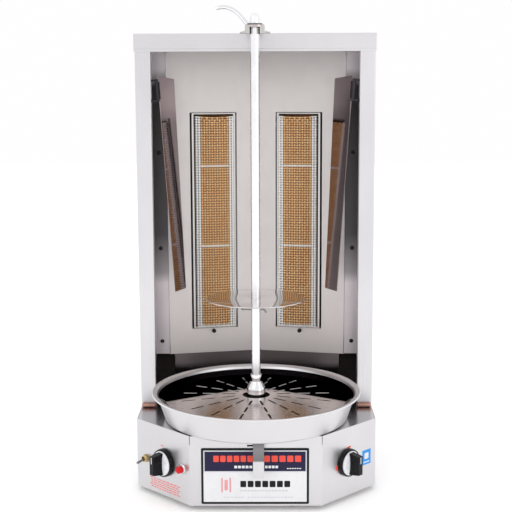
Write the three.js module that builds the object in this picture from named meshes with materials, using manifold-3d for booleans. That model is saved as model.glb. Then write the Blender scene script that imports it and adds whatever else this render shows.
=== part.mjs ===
// Vertical rotisserie broiler: a base with the drive and the gas train, a three-sided
// heated chamber with two infrared burners, and a turning spit over a drip pan.
// Millimetres. +Z is up, the front faces -Y, and the origin is on the floor under the spit.

import * as THREE from 'three';
import { mergeVertices } from 'three/addons/utils/BufferGeometryUtils.js';
import Module from 'manifold-3d';

const wasm = await Module();
wasm.setup();

// ---- driving dimensions ----

const SHEET = 1.2;
const GAP = 0.3;
const HALF_WIDTH = 228.5;
const POST_FRONT = 63.4;
const REAR = 300;

const BASE_BOTTOM = 10;
const DECK_TOP = 142;
const FRONT = -126;
const FRONT_HALF = 120.7;
const SIDE_CORNER = -16;
const FOOT = { top: 13, bottom: 11, taper: 2, front: [66, -92], rear: [185, 265] };
const SUPPORT_PAD_RADIUS = 20;

const CANOPY_TOP = 869.4;
const FASCIA_BOTTOM = 835.3;
const CANOPY_SKIRT = 846;
const CANOPY_HALF = 230.3;
const CANOPY_FRONT = 61.9;
const CANOPY_REAR = 301.6;
const UPRIGHT_TOP = CANOPY_TOP - SHEET - GAP;
const UPRIGHT_BOTTOM = DECK_TOP + GAP;

const FLANGE_WIDTH = 30;
const FLANGE_RETURN = 15;
const REAR_FLANGE = 16;

const FOOT_ROD = { radius: 4, y: 58, z: 146.4, outer: 226.4 };
const VENTS = { columns: [-110, 0, 110], half: 42, rows: 7, bottom: 690, pitch: 20, height: 7 };

const WALL_BOTTOM = 218;
const WALL_VERTEX = 228;
const WALL_ANGLE = THREE.MathUtils.degToRad(12);
const WALL_LENGTH = 185.5;
const WALL_LIP = 3;
const STRIP_FRONT = 193.5;
const STRIP_INNER = 174;
const STRIP_RETURN = 22;
const STRIP_SCREW = { x: 197, radius: 2 };
const WALL_SCREWS = [245, 441, 637];
const LOWER_PANEL = { front: 230.8, foot: 236, overlap: 14 };

const BURNER_CENTRE = 89.2;
const BURNER_BOTTOM = 270;
const BURNER_TOP = 718;
const BURNER_HALF = 48.3;
const HOUSING = { half: 44.8, proud: 2.5, depth: 45, inset: 1.2, ledge: 2, rim: 5, sill: 14, inletY: 34 };
const TILE = { half: 39, front: 1, depth: 13, pitch: 165.2, bottom: 279.5, top: 713.5 };
const MESH = { half: 40.5, proud: 8.5, edge: 5.5, inset: 2.5, sheet: 1, steps: 6 };
const ELECTRODE = { x: 92, z: 264, radius: 2.5, depth: 22, tip: 6, head: 4.1, proud: 8 };
const SUPPLY = { x: 94.3, y: 242.8, radius: 5 };

const PAN = {
  bottom: 142.6, floorRadius: 174, rimRadius: 199.4, rimTop: 195, rimWidth: 10, rimHeight: 4, wall: 1.6,
  collar: 24, collarWall: 1.2, collarTop: 174,
};
const PLATE = { radius: 172, top: 178.6, crown: 6, sheet: 1.4, hole: 26, lipRadius: 186.4, lipTop: 187.8 };
const SLOT = { rings: [54, 93, 131], count: 16, length: 27, width: 4 };
const CHUTE = {
  x: 5, half: 10, bend: 102, bottom: 70, hole: 5, holeY: -152, front: -168, back: -137, foot: -147,
};

const SPIT_RADIUS = 8.5;
const SPIT_BOTTOM = 196.5;
const SPIT_CLEARANCE = 0.4;
const CAP_BOTTOM = 884.3;
const CAP_TOP = 903;
const CAP_RADIUS = 9.8;
const CAP_EDGE = 7;
const SPIT_HOLES = [258.6, 285, 325.8, 352, 454.3, 520, 586];
const DISC = { radius: 93.8, top: 373.6, sheet: 2, hub: 13, hubBottom: 355 };
const PIN = { z: 352, radius: 1.9, tail: -28, head: 13, hook: 6 };

const SHAFT_RADIUS = 7;
const SOCKET = {
  bottom: 175, skirt: 194, flare: 198, cone: 210, top: 225.5, seat: 190.3,
  skirtRadius: 16.3, flareRadius: 18.1, neckRadius: 10.6,
};
const GEARBOX = { halfX: 42, halfY: 38, bottom: 11.8, top: 54, boss: 60, bossRadius: 17 };
const MOTOR = { radius: 27, length: 78, z: 41 };
const COUPLING = { radius: 13, bottom: 60.5, top: 92, stub: 6, stubBottom: 42, depth: 16 };
const BEARING = { bottom: 108, flange: 136.5, radius: 20, flangeRadius: 33 };

const FORK = {
  radius: 18.3, slot: 9.3, bottom: 865, top: 881, arm: 14, armTop: 876.5, armReach: 40,
  plateHalf: 29, plateReach: 62, plateSheet: 2.6,
};
const LATCH = { bottom: 881.3, top: 884, radius: 17, bore: 9.1, hornRadius: 3.7 };

const WING = { x: 189.4, y: 74, z: 790, top: 62, bottom: 44, height: 420, drop: 7, sheet: 1.5, edge: 5 };
const WING_LEAN = THREE.MathUtils.degToRad(3.8);
const WING_TOE = { left: THREE.MathUtils.degToRad(28), right: THREE.MathUtils.degToRad(33) };
const KNUCKLE = { radius: 3.6, bore: 2.2, top: -10, bottom: -44, pin: 1.8, lug: 4 };

const KNOB = {
  x: 72, z: 75, radius: 26.5, back: 1.5, face: 13, dish: 1.4, grip: 32, gripHalf: 7.6, gripInset: 5.5,
  stem: 4, stemDepth: 13,
};
const BUTTON = {
  x: 21, z: 75, radius: 6.5, proud: 14, edge: 1.6, travel: 6,
  barrel: 8.5, barrelDepth: 44, bezel: 10.5, bezelProud: 4.5, boreDepth: 20,
};
const TOGGLE = {
  x: 127, z: 70, bush: 6, bushProud: 8, bore: 4.4, nut: 8, nutProud: 3.2, pivot: 4,
  lever: 20, ball: 3.4, tilt: THREE.MathUtils.degToRad(14), halfWidth: 14, halfHeight: 8, back: 25,
};
const VALVE = { half: 13, height: 15, front: 3, depth: 30, stemHole: 5, stemDepth: 14.5 };
const MANIFOLD = {
  y: -26, z: 75, radius: 8, hex: 12, half: 140, tap: 5, tapLength: 36, feedX: -120, end: 322,
};

const NAMEPLATE = { x: -1.5, half: 98.5, bottom: 13.7, top: 119.9, sheet: 0.8 };
const FRONT_SLOT = { x: -7, half: 9, bottom: 123, top: 126 };
const NOTCH = { width: 0.8, depth: 16 };
const GLAND = { x: 150, z: 60, radius: 11, neck: 7, hole: 6, stem: 14, flange: 22, tail: 32 };

const ROUND = 56;

const PANEL_ANGLE = Math.atan2(SIDE_CORNER - FRONT, HALF_WIDTH - FRONT_HALF);

// ---- materials ----

function steel(color, roughness) {
  return new THREE.MeshStandardMaterial({ color, roughness, metalness: 1 });
}

function plain(color, roughness) {
  return new THREE.MeshStandardMaterial({ color, roughness, metalness: 0 });
}

const MATERIALS = {
  brushed: () => steel(0xc9c9cb, 0.34),
  polished: () => steel(0xb9b7ba, 0.08),
  chrome: () => steel(0xd8d8dc, 0.05),
  zinc: () => steel(0x9d9c98, 0.45),
  brass: () => steel(0xb58f45, 0.3),
  copper: () => steel(0x9b5f44, 0.35),
  wire: () => steel(0xb9a58b, 0.45),
  castIron: () => plain(0x3d3f42, 0.6),
  ceramic: () => plain(0xc08a4a, 0.9),
  porcelain: () => plain(0xe6e1d8, 0.4),
  blackPlastic: () => plain(0x141416, 0.3),
  redPlastic: () => plain(0xd01822, 0.3),
  rubber: () => plain(0x1b1b1c, 0.8),
  printed: () => plain(0x232744, 0.4),
};

// ---- solids ----

function toSolid(geometry) {
  const bare = geometry.clone();
  bare.deleteAttribute('normal');
  bare.deleteAttribute('uv');
  const merged = mergeVertices(bare, 1e-4);
  return new wasm.Manifold(new wasm.Mesh({
    numProp: 3,
    vertProperties: new Float32Array(merged.attributes.position.array),
    triVerts: new Uint32Array(merged.index.array),
  }));
}

function toGeometry(solid) {
  const mesh = solid.getMesh();
  const geometry = new THREE.BufferGeometry();
  geometry.setAttribute('position', new THREE.BufferAttribute(new Float32Array(mesh.vertProperties), 3));
  geometry.setIndex(new THREE.BufferAttribute(new Uint32Array(mesh.triVerts), 1));
  geometry.computeVertexNormals();
  return geometry;
}

function join(...geometries) {
  return toGeometry(geometries.map(toSolid).reduce((a, b) => a.add(b)));
}

function cut(body, ...tools) {
  return toGeometry(tools.map(toSolid).reduce((a, b) => a.subtract(b), toSolid(body)));
}

function box(x0, x1, y0, y1, z0, z1) {
  const geometry = new THREE.BoxGeometry(Math.abs(x1 - x0), Math.abs(y1 - y0), Math.abs(z1 - z0));
  return geometry.translate((x0 + x1) / 2, (y0 + y1) / 2, (z0 + z1) / 2);
}

// A cylinder from z0 to z1 about a vertical line.
function post(radius, z0, z1, x = 0, y = 0, segments = 24) {
  const geometry = new THREE.CylinderGeometry(radius, radius, z1 - z0, segments);
  return geometry.rotateX(Math.PI / 2).translate(x, y, (z0 + z1) / 2);
}

// A cylinder from y0 to y1 about a line that runs front to back.
function rodY(radius, y0, y1, x, z, segments = 20) {
  const geometry = new THREE.CylinderGeometry(radius, radius, y1 - y0, segments);
  return geometry.translate(x, (y0 + y1) / 2, z);
}

// A cylinder from x0 to x1 about a line that runs left to right.
function rodX(radius, x0, x1, y, z, segments = 20) {
  const geometry = new THREE.CylinderGeometry(radius, radius, x1 - x0, segments);
  return geometry.rotateZ(Math.PI / 2).translate((x0 + x1) / 2, y, z);
}

// A profile of [radius, z] points turned about the vertical axis.
function turned(profile, segments = 32) {
  const points = profile.map(([radius, z]) => new THREE.Vector2(radius, z));
  return new THREE.LatheGeometry(points, segments).rotateX(Math.PI / 2);
}

// A ring of [radius, z] points: the profile closes on itself.
function turnedRing(profile, segments = 32) {
  return turned([...profile, profile[0]], segments);
}

// The closed outline of a folded sheet, thickened to the left of its path.
function foldedOutline(path, thickness) {
  const points = path.map(([x, y]) => new THREE.Vector2(x, y));
  const offset = points.map((point, i) => {
    const before = i > 0 ? point.clone().sub(points[i - 1]).normalize() : null;
    const after = i < points.length - 1 ? points[i + 1].clone().sub(point).normalize() : null;
    const first = before ?? after;
    const second = after ?? before;
    const normal = new THREE.Vector2(-first.y - second.y, first.x + second.x).normalize();
    const reach = thickness / normal.dot(new THREE.Vector2(-first.y, first.x));
    return point.clone().addScaledVector(normal, reach);
  });
  return new THREE.Shape([...points, ...offset.reverse()]);
}

// A sheet folded in plan and standing from z0 to z1.
function standingSheet(path, z0, z1, thickness = SHEET) {
  const shape = foldedOutline(path, thickness);
  return new THREE.ExtrudeGeometry(shape, { depth: z1 - z0, bevelEnabled: false }).translate(0, 0, z0);
}

// A sheet folded in its side view, a path of [y, z] points, and reaching from x0 to x1.
function lyingSheet(path, x0, x1, thickness = SHEET) {
  const shape = foldedOutline(path, thickness);
  const geometry = new THREE.ExtrudeGeometry(shape, { depth: x1 - x0, bevelEnabled: false });
  return geometry.applyMatrix4(new THREE.Matrix4().makeBasis(
    new THREE.Vector3(0, 1, 0), new THREE.Vector3(0, 0, 1), new THREE.Vector3(1, 0, 0),
  )).translate(x0, 0, 0);
}

// A flat plate with a plan outline.
function plate(outline, z0, z1) {
  const shape = new THREE.Shape(outline.map(([x, y]) => new THREE.Vector2(x, y)));
  return new THREE.ExtrudeGeometry(shape, { depth: z1 - z0, bevelEnabled: false }).translate(0, 0, z0);
}

function roundSection(radius, sides) {
  const shape = new THREE.Shape();
  for (let i = 0; i < sides; i += 1) {
    const angle = (2 * Math.PI * i) / sides;
    const point = [radius * Math.cos(angle), radius * Math.sin(angle)];
    if (i === 0) shape.moveTo(...point);
    else shape.lineTo(...point);
  }
  return shape;
}

// A bar of round section along a smooth curve through points.
function bar(points, radius, steps, sides = 10) {
  const curve = new THREE.CatmullRomCurve3(points.map((p) => new THREE.Vector3(...p)), false, 'centripetal');
  const section = roundSection(radius, sides);
  return new THREE.ExtrudeGeometry(section, { extrudePath: curve, steps, bevelEnabled: false });
}

// ---- the scene graph ----

const broiler = new THREE.Group();

function add(parent, name, material, geometry) {
  const mesh = new THREE.Mesh(geometry, MATERIALS[material]());
  mesh.name = name;
  parent.add(mesh);
  return mesh;
}

function sided(name, side) {
  return `${name}_${side < 0 ? 'left' : 'right'}`;
}

// ---- base ----

function baseOutline(inset) {
  const corner = inset * Math.tan(PANEL_ANGLE / 2);
  const sideX = HALF_WIDTH - inset;
  const frontX = FRONT_HALF - corner;
  const sideY = SIDE_CORNER + inset * Math.tan((Math.PI / 2 - PANEL_ANGLE) / 2);
  return [
    [-sideX, REAR - inset], [-sideX, sideY], [-frontX, FRONT + inset],
    [frontX, FRONT + inset], [sideX, sideY], [sideX, REAR - inset],
  ];
}

// A tool placed in the plane of one angled front panel: x along it, -y outward.
function onPanel(geometry, side) {
  return geometry.rotateZ(side * PANEL_ANGLE).translate(side * FRONT_HALF, FRONT, 0);
}

function baseFrontPanel() {
  const path = [
    [-HALF_WIDTH, SIDE_CORNER], [-FRONT_HALF, FRONT], [FRONT_HALF, FRONT], [HALF_WIDTH, SIDE_CORNER],
  ];
  const through = [-SHEET * 4, SHEET * 4];
  const tools = [];
  for (const side of [-1, 1]) {
    tools.push(onPanel(rodY(VALVE.stemHole, ...through, side * KNOB.x, KNOB.z), side));
    const notchX = side * FRONT_HALF;
    const notch = box(notchX - NOTCH.width / 2, notchX + NOTCH.width / 2, FRONT - SHEET, FRONT + 2 * SHEET,
      DECK_TOP - NOTCH.depth, DECK_TOP + 1);
    tools.push(notch);
  }
  tools.push(onPanel(rodY(BUTTON.barrel + GAP, ...through, -BUTTON.x, BUTTON.z), -1));
  tools.push(onPanel(rodY(TOGGLE.bush + GAP, ...through, -TOGGLE.x, TOGGLE.z), -1));
  tools.push(box(FRONT_SLOT.x - FRONT_SLOT.half, FRONT_SLOT.x + FRONT_SLOT.half, FRONT - 1, FRONT + 2 * SHEET,
    FRONT_SLOT.bottom, FRONT_SLOT.top));
  return cut(standingSheet(path, BASE_BOTTOM, DECK_TOP), ...tools);
}

function baseHousing() {
  const start = SIDE_CORNER + SHEET;
  const path = [[-HALF_WIDTH, REAR], [-HALF_WIDTH, start]];
  const left = standingSheet(path, BASE_BOTTOM, DECK_TOP);
  const right = standingSheet([[HALF_WIDTH, start], [HALF_WIDTH, REAR]], BASE_BOTTOM, DECK_TOP);
  const rear = box(-HALF_WIDTH, HALF_WIDTH, REAR - SHEET, REAR, BASE_BOTTOM, DECK_TOP);
  const gasHole = rodY(MANIFOLD.radius + 1, REAR - 2 * SHEET, REAR + 1, MANIFOLD.feedX, MANIFOLD.z);
  const cordHole = rodY(GLAND.neck, REAR - 2 * SHEET, REAR + 1, GLAND.x, GLAND.z);
  return cut(join(left, right, rear), gasHole, cordHole);
}

// The bottom plate has a pressed pad under the gearbox that carries its weight on the counter.
function bottomPlate(outline) {
  const low = BASE_BOTTOM + GAP;
  const pad = post(SUPPORT_PAD_RADIUS, 0, low + SHEET / 2, 0, 0, 32);
  return join(plate(outline, low, low + SHEET), pad);
}

function buildBase(parent) {
  add(parent, 'base_front_panel', 'brushed', baseFrontPanel());
  add(parent, 'base_housing', 'brushed', baseHousing());
  const inner = baseOutline(SHEET + GAP);
  const supplies = [-1, 1].map((side) => (
    post(SUPPLY.radius + 3, DECK_TOP - 2 * SHEET, DECK_TOP + 1, side * SUPPLY.x, SUPPLY.y)));
  const shaftHole = post(SHAFT_RADIUS + 4, DECK_TOP - 2 * SHEET, DECK_TOP + 1);
  add(parent, 'base_deck', 'polished', cut(plate(inner, DECK_TOP - SHEET, DECK_TOP), shaftHole, ...supplies));
  add(parent, 'base_bottom_plate', 'zinc', bottomPlate(inner));
  for (const side of [-1, 1]) {
    for (const end of ['front', 'rear']) {
      const [x, y] = FOOT[end];
      const foot = turned([
        [0, 0], [FOOT.bottom, 0], [FOOT.top, FOOT.taper], [FOOT.top, BASE_BOTTOM], [0, BASE_BOTTOM],
      ], 20);
      add(parent, `foot_${end}_${side < 0 ? 'left' : 'right'}`, 'rubber', foot).position.set(side * x, y, 0);
    }
  }
}

// ---- uprights and canopy ----

// The wing's own frame: origin on its hinge line, +x towards its free edge, z along the line.
function placeWing(geometry, side, toe) {
  const inward = side < 0 ? Math.PI / 2 - toe : Math.PI / 2 + toe;
  return geometry.rotateZ(inward).rotateY(side * WING_LEAN)
    .translate(side * WING.x, WING.y, WING.z);
}

function sidePost(side) {
  const outer = side * HALF_WIDTH;
  const flange = side * (HALF_WIDTH - FLANGE_WIDTH);
  const rear = REAR - SHEET - GAP;
  const path = [
    [flange, POST_FRONT + FLANGE_RETURN], [flange, POST_FRONT], [outer, POST_FRONT],
    [outer, rear], [side * (HALF_WIDTH - REAR_FLANGE), rear],
  ];
  const sheet = standingSheet(side > 0 ? path : path.reverse(), UPRIGHT_BOTTOM, UPRIGHT_TOP);
  const reach = HALF_WIDTH - FLANGE_WIDTH - WING.x;
  const pin = post(KNUCKLE.pin, KNUCKLE.bottom - KNUCKLE.lug, KNUCKLE.top + KNUCKLE.lug, 0, 0, 12);
  const parts = [pin];
  for (const z of [KNUCKLE.top + GAP, KNUCKLE.bottom - GAP - KNUCKLE.lug]) {
    const outward = side * (reach + 1);
    parts.push(post(KNUCKLE.radius, z, z + KNUCKLE.lug, 0, 0, 16));
    parts.push(box(0, outward + side * 3, -KNUCKLE.radius, KNUCKLE.radius - 1, z, z + KNUCKLE.lug));
  }
  const hinge = join(...parts).rotateY(side * WING_LEAN).translate(side * WING.x, WING.y, WING.z);
  return join(sheet, hinge);
}

function canopy() {
  const outer = box(-CANOPY_HALF, CANOPY_HALF, CANOPY_FRONT, CANOPY_REAR, FASCIA_BOTTOM, CANOPY_TOP);
  const hollow = box(-CANOPY_HALF + SHEET, CANOPY_HALF - SHEET, CANOPY_FRONT + SHEET, CANOPY_REAR - SHEET,
    FASCIA_BOTTOM - 1, CANOPY_TOP - SHEET);
  const behind = box(-CANOPY_HALF - 1, CANOPY_HALF + 1, CANOPY_FRONT + SHEET, CANOPY_REAR + 1,
    FASCIA_BOTTOM - 1, CANOPY_SKIRT);
  return cut(outer, hollow, behind);
}

function rearCover() {
  const body = box(-HALF_WIDTH, HALF_WIDTH, REAR - SHEET, REAR, UPRIGHT_BOTTOM, UPRIGHT_TOP);
  const vents = [];
  for (const x of VENTS.columns) {
    for (let row = 0; row < VENTS.rows; row += 1) {
      const z = VENTS.bottom + row * VENTS.pitch;
      vents.push(box(x - VENTS.half, x + VENTS.half, REAR - 2 * SHEET, REAR + 1, z, z + VENTS.height));
    }
  }
  return cut(body, ...vents);
}

function buildUprights(parent) {
  for (const side of [-1, 1]) {
    add(parent, sided('side_post', side), 'brushed', sidePost(side));
    const ends = [side * (HALF_WIDTH - FLANGE_WIDTH - 2 * GAP), side * FOOT_ROD.outer];
    const rod = rodX(FOOT_ROD.radius, Math.min(...ends), Math.max(...ends), FOOT_ROD.y, FOOT_ROD.z);
    add(parent, sided('foot_rod', side), 'copper', rod);
  }
  add(parent, 'canopy', 'brushed', canopy());
  add(parent, 'rear_cover', 'brushed', rearCover());
}

// ---- rear wall and burners ----

function backWall(side) {
  const inner = side * GAP;
  const outer = side * WALL_LENGTH;
  const sheet = box(inner, outer, 0, SHEET, WALL_BOTTOM, UPRIGHT_TOP);
  const lip = box(outer, outer - side * SHEET, -WALL_LIP, SHEET, WALL_BOTTOM, UPRIGHT_TOP);
  const centre = side * BURNER_CENTRE;
  const opening = box(centre - BURNER_HALF, centre + BURNER_HALF, -5, 5, BURNER_BOTTOM, BURNER_TOP);
  const electrode = rodY(ELECTRODE.radius + GAP, -5, 5, side * ELECTRODE.x, ELECTRODE.z);
  return cut(join(sheet, lip), opening, electrode);
}

function burnerHousing() {
  const z0 = BURNER_BOTTOM + HOUSING.inset;
  const z1 = BURNER_TOP - HOUSING.inset;
  const outer = box(-HOUSING.half, HOUSING.half, -HOUSING.proud, HOUSING.depth, z0, z1);
  const inner = box(-HOUSING.half + SHEET, HOUSING.half - SHEET, -HOUSING.proud - 1, HOUSING.depth - SHEET,
    z0 + SHEET, z1 - SHEET);
  const tileBack = TILE.front + TILE.depth;
  const ledge = box(-HOUSING.half, HOUSING.half, tileBack + GAP, tileBack + HOUSING.ledge, z0, z1);
  const window = box(-TILE.half + HOUSING.rim, TILE.half - HOUSING.rim, 0, HOUSING.depth - HOUSING.rim,
    z0 + HOUSING.sill, z1 - HOUSING.sill);
  const inlet = post(SUPPLY.radius + 1, z0 - 1, z0 + 2 * SHEET, 0, HOUSING.inletY);
  const frame = cut(ledge, window);
  return cut(join(cut(outer, inner), frame), inlet);
}

function burnerMesh() {
  const path = [[-MESH.half, 0.5], [-MESH.half, -MESH.edge]];
  for (let i = 1; i < MESH.steps; i += 1) {
    const t = i / MESH.steps;
    const bulge = (MESH.proud - MESH.edge) * Math.sin(Math.PI * t);
    path.push([-MESH.half + 2 * MESH.half * t, -MESH.edge - bulge]);
  }
  path.push([MESH.half, -MESH.edge], [MESH.half, 0.5]);
  return standingSheet(path, BURNER_BOTTOM + MESH.inset, BURNER_TOP - MESH.inset, MESH.sheet);
}

function sparkElectrode() {
  const rod = rodY(ELECTRODE.radius, -ELECTRODE.tip, ELECTRODE.depth, 0, 0);
  const head = rodY(ELECTRODE.head, -ELECTRODE.proud, -GAP, 0, 0);
  return join(rod, head);
}

function buildBurner(wall, side) {
  const burner = new THREE.Group();
  burner.position.x = side * BURNER_CENTRE;
  wall.add(burner);
  add(burner, sided('burner_housing', side), 'zinc', burnerHousing());
  for (let i = 0; i < 3; i += 1) {
    const z0 = TILE.bottom + i * TILE.pitch;
    const z1 = Math.min(z0 + TILE.pitch - GAP, TILE.top);
    const tile = box(-TILE.half, TILE.half, TILE.front, TILE.front + TILE.depth, z0, z1);
    add(burner, `${sided('burner_tile', side)}_${i + 1}`, 'ceramic', tile);
  }
  add(burner, sided('burner_screen', side), 'wire', burnerMesh());
  add(wall, sided('spark_electrode', side), 'porcelain', sparkElectrode())
    .position.set(side * ELECTRODE.x, 0, ELECTRODE.z);
}

function sideStrip(side) {
  const outer = HALF_WIDTH - SHEET - GAP;
  const path = [
    [side * STRIP_INNER, STRIP_FRONT], [side * outer, STRIP_FRONT], [side * outer, STRIP_FRONT + STRIP_RETURN],
  ];
  return standingSheet(side > 0 ? path : path.reverse(), WALL_BOTTOM, UPRIGHT_TOP);
}

function buildWall(parent) {
  for (const side of [-1, 1]) {
    const wall = new THREE.Group();
    wall.position.y = WALL_VERTEX;
    wall.rotation.z = -side * WALL_ANGLE;
    parent.add(wall);
    add(wall, sided('back_wall', side), 'brushed', backWall(side));
    buildBurner(wall, side);
    const holes = WALL_SCREWS.map((z) => (
      rodY(STRIP_SCREW.radius, STRIP_FRONT - 1, STRIP_FRONT + 3, side * STRIP_SCREW.x, z, 12)));
    add(parent, sided('side_strip', side), 'brushed', cut(sideStrip(side), ...holes));
  }
  const { front, foot, overlap } = LOWER_PANEL;
  const lower = [[front, WALL_BOTTOM + overlap], [front, UPRIGHT_BOTTOM], [foot, UPRIGHT_BOTTOM]];
  add(parent, 'lower_back_panel', 'polished', lyingSheet(lower, -STRIP_INNER, STRIP_INNER));
}

// ---- reflector wings ----

function wing(side, toe) {
  const outline = new THREE.Shape([
    [WING.edge, 0], [WING.top, -WING.drop], [WING.bottom, -WING.height], [WING.edge, -WING.height],
  ].map(([x, z]) => new THREE.Vector2(x, z)));
  const sheet = new THREE.ExtrudeGeometry(outline, { depth: WING.sheet, bevelEnabled: false })
    .rotateX(Math.PI / 2).translate(0, WING.sheet / 2, 0);
  const half = WING.sheet / 2;
  const tab = box(KNUCKLE.bore + 0.6, WING.edge + 2, -half, half, KNUCKLE.bottom, KNUCKLE.top);
  const knuckle = turnedRing([
    [KNUCKLE.bore, KNUCKLE.bottom], [KNUCKLE.radius, KNUCKLE.bottom],
    [KNUCKLE.radius, KNUCKLE.top], [KNUCKLE.bore, KNUCKLE.top],
  ], 16);
  return placeWing(join(sheet, tab, knuckle), side, toe);
}

// ---- drip pan, slotted plate and drain strip ----

function dripPan() {
  const { bottom, floorRadius, rimRadius, rimTop, rimWidth, rimHeight, wall, collar, collarTop } = PAN;
  const collarOuter = collar + PAN.collarWall;
  const underRim = rimTop - rimHeight;
  const body = turnedRing([
    [collar, bottom], [floorRadius, bottom], [rimRadius - rimWidth + 0.8, underRim], [rimRadius, underRim],
    [rimRadius, rimTop], [rimRadius - rimWidth, rimTop], [floorRadius - wall * 0.75, bottom + wall],
    [collarOuter, bottom + wall], [collarOuter, collarTop], [collar, collarTop],
  ], ROUND);
  return cut(body, post(CHUTE.hole, bottom - 1, bottom + 3, CHUTE.x, CHUTE.holeY, 16));
}

// The plate is a very flat cone, highest at its hole, so that fat runs outward.
function slottedPlate() {
  const { radius, top, crown, sheet, hole, lipRadius, lipTop } = PLATE;
  const body = turnedRing([
    [hole, top + crown - sheet], [radius + 0.6, top - sheet], [lipRadius, lipTop - 0.6],
    [lipRadius - 0.6, lipTop], [radius, top], [hole, top + crown],
  ], ROUND);
  const slots = [];
  SLOT.rings.forEach((ring) => {
    for (let i = 0; i < SLOT.count; i += 1) {
      const angle = ((i + 0.5) * 2 * Math.PI) / SLOT.count;
      const slot = box(ring - SLOT.length / 2, ring + SLOT.length / 2, -SLOT.width / 2, SLOT.width / 2,
        top - 2 * sheet, top + crown + 1);
      slots.push(slot.rotateZ(angle));
    }
  });
  return cut(body, ...slots);
}

function drainChute() {
  const { x, half, bend, bottom, hole, holeY, front, back, foot } = CHUTE;
  const top = PAN.bottom - GAP;
  const path = [[front, top], [back, top], [foot, bend], [foot, bottom]];
  const strip = lyingSheet(path.reverse(), x - half, x + half);
  return cut(strip, post(hole, top - 2 * SHEET, top + 1, x, holeY, 16));
}

function buildPan(parent) {
  add(parent, 'drip_pan', 'brushed', dripPan());
  add(parent, 'slotted_plate', 'polished', slottedPlate());
  add(parent, 'drain_strip', 'brushed', drainChute());
}

// ---- spit and drive ----

function skewer() {
  const rise = CAP_TOP - CAP_BOTTOM - CAP_EDGE;
  const dome = [];
  const steps = 4;
  for (let i = 0; i < steps; i += 1) {
    const angle = (Math.PI / 2) * (i / steps);
    dome.push([CAP_RADIUS * Math.cos(angle), CAP_TOP - rise + rise * Math.sin(angle)]);
  }
  const rod = turned([
    [0, SPIT_BOTTOM], [SPIT_RADIUS, SPIT_BOTTOM], [SPIT_RADIUS, CAP_BOTTOM], [CAP_RADIUS, CAP_BOTTOM],
    ...dome, [0, CAP_TOP],
  ], 20);
  const holes = SPIT_HOLES.map((z) => rodX(PIN.radius + GAP, -20, 20, 0, z, 10));
  return cut(rod, ...holes);
}

function meatDisc() {
  const bore = SPIT_RADIUS + SPIT_CLEARANCE;
  const under = DISC.top - DISC.sheet;
  return turnedRing([
    [bore, DISC.hubBottom], [DISC.hub, DISC.hubBottom], [DISC.hub, under], [DISC.radius, under],
    [DISC.radius, DISC.top], [bore, DISC.top],
  ], 48);
}

function discPin() {
  const points = [[PIN.tail, 0, PIN.z], [0, 0, PIN.z], [PIN.head, 0, PIN.z], [PIN.head + 4, 0, PIN.z - 2],
    [PIN.head + PIN.hook, 0, PIN.z - PIN.hook]];
  return bar(points, PIN.radius, 12, 8);
}

function driveSocket() {
  const { bottom, skirt, flare, cone, top, seat, skirtRadius, flareRadius, neckRadius } = SOCKET;
  const shaftBore = SHAFT_RADIUS + GAP;
  const spitBore = SPIT_RADIUS + SPIT_CLEARANCE;
  return turned([
    [0, seat], [shaftBore, seat], [shaftBore, bottom], [skirtRadius, bottom], [skirtRadius, skirt],
    [flareRadius, flare], [flareRadius - 0.9, flare + 3], [neckRadius, cone], [neckRadius, top],
    [spitBore, top], [spitBore, SPIT_BOTTOM - GAP],
    [0, SPIT_BOTTOM - GAP],
  ], 24);
}

function buildSpit(parent) {
  add(parent, 'skewer', 'chrome', skewer());
  add(parent, 'meat_disc', 'polished', meatDisc());
  add(parent, 'disc_pin', 'zinc', discPin());
  add(parent, 'drive_socket', 'chrome', driveSocket());
}

function shaftCoupling() {
  const { radius, bottom, top, stub, stubBottom, depth } = COUPLING;
  const bore = SHAFT_RADIUS + 0.2;
  return turned([
    [0, stubBottom], [stub, stubBottom], [stub, bottom], [radius, bottom], [radius, top],
    [bore, top], [bore, top - depth], [0, top - depth],
  ], 24);
}

function bearingHousing() {
  const { bottom, flange, radius, flangeRadius } = BEARING;
  const top = DECK_TOP - SHEET - GAP;
  const bore = SHAFT_RADIUS + GAP;
  return turnedRing([
    [bore, bottom], [radius, bottom], [radius, flange], [flangeRadius, flange], [flangeRadius, top], [bore, top],
  ], 28);
}

function buildDrive(parent) {
  const { halfX, halfY, bottom, top, boss, bossRadius } = GEARBOX;
  const casing = join(box(-halfX, halfX, -halfY, halfY, bottom, top), post(bossRadius, top - 1, boss));
  const socket = post(COUPLING.stub + GAP, COUPLING.stubBottom - 2, boss + 1);
  add(parent, 'gearbox', 'castIron', cut(casing, socket));
  const motorStart = halfX + GAP;
  const motor = rodX(MOTOR.radius, motorStart, motorStart + MOTOR.length, 0, MOTOR.z);
  add(parent, 'motor', 'blackPlastic', motor);
  add(parent, 'shaft_coupling', 'zinc', shaftCoupling());
  const shaftBottom = COUPLING.top - COUPLING.depth + 0.5;
  add(parent, 'main_shaft', 'zinc', post(SHAFT_RADIUS, shaftBottom, SOCKET.seat - GAP));
  add(parent, 'bearing_housing', 'castIron', bearingHousing());
}

// ---- top latch ----

function latchBracket() {
  const { radius, slot, bottom, top, arm, armTop, armReach, plateHalf, plateReach, plateSheet } = FORK;
  const roof = CANOPY_TOP + GAP;
  const head = post(radius, bottom, top, 0, 0, 32);
  const beam = box(-arm, arm, radius - 8, POST_FRONT + armReach, roof, armTop);
  const foot = box(-plateHalf, plateHalf, CANOPY_FRONT + 1, POST_FRONT + plateReach, roof, roof + plateSheet);
  const bore = post(slot, bottom - 1, top + 1, 0, 0, 32);
  const mouth = box(-slot, slot, -radius - 1, 0, bottom - 1, top + 1);
  return cut(join(head, beam, foot), bore, mouth);
}

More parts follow.
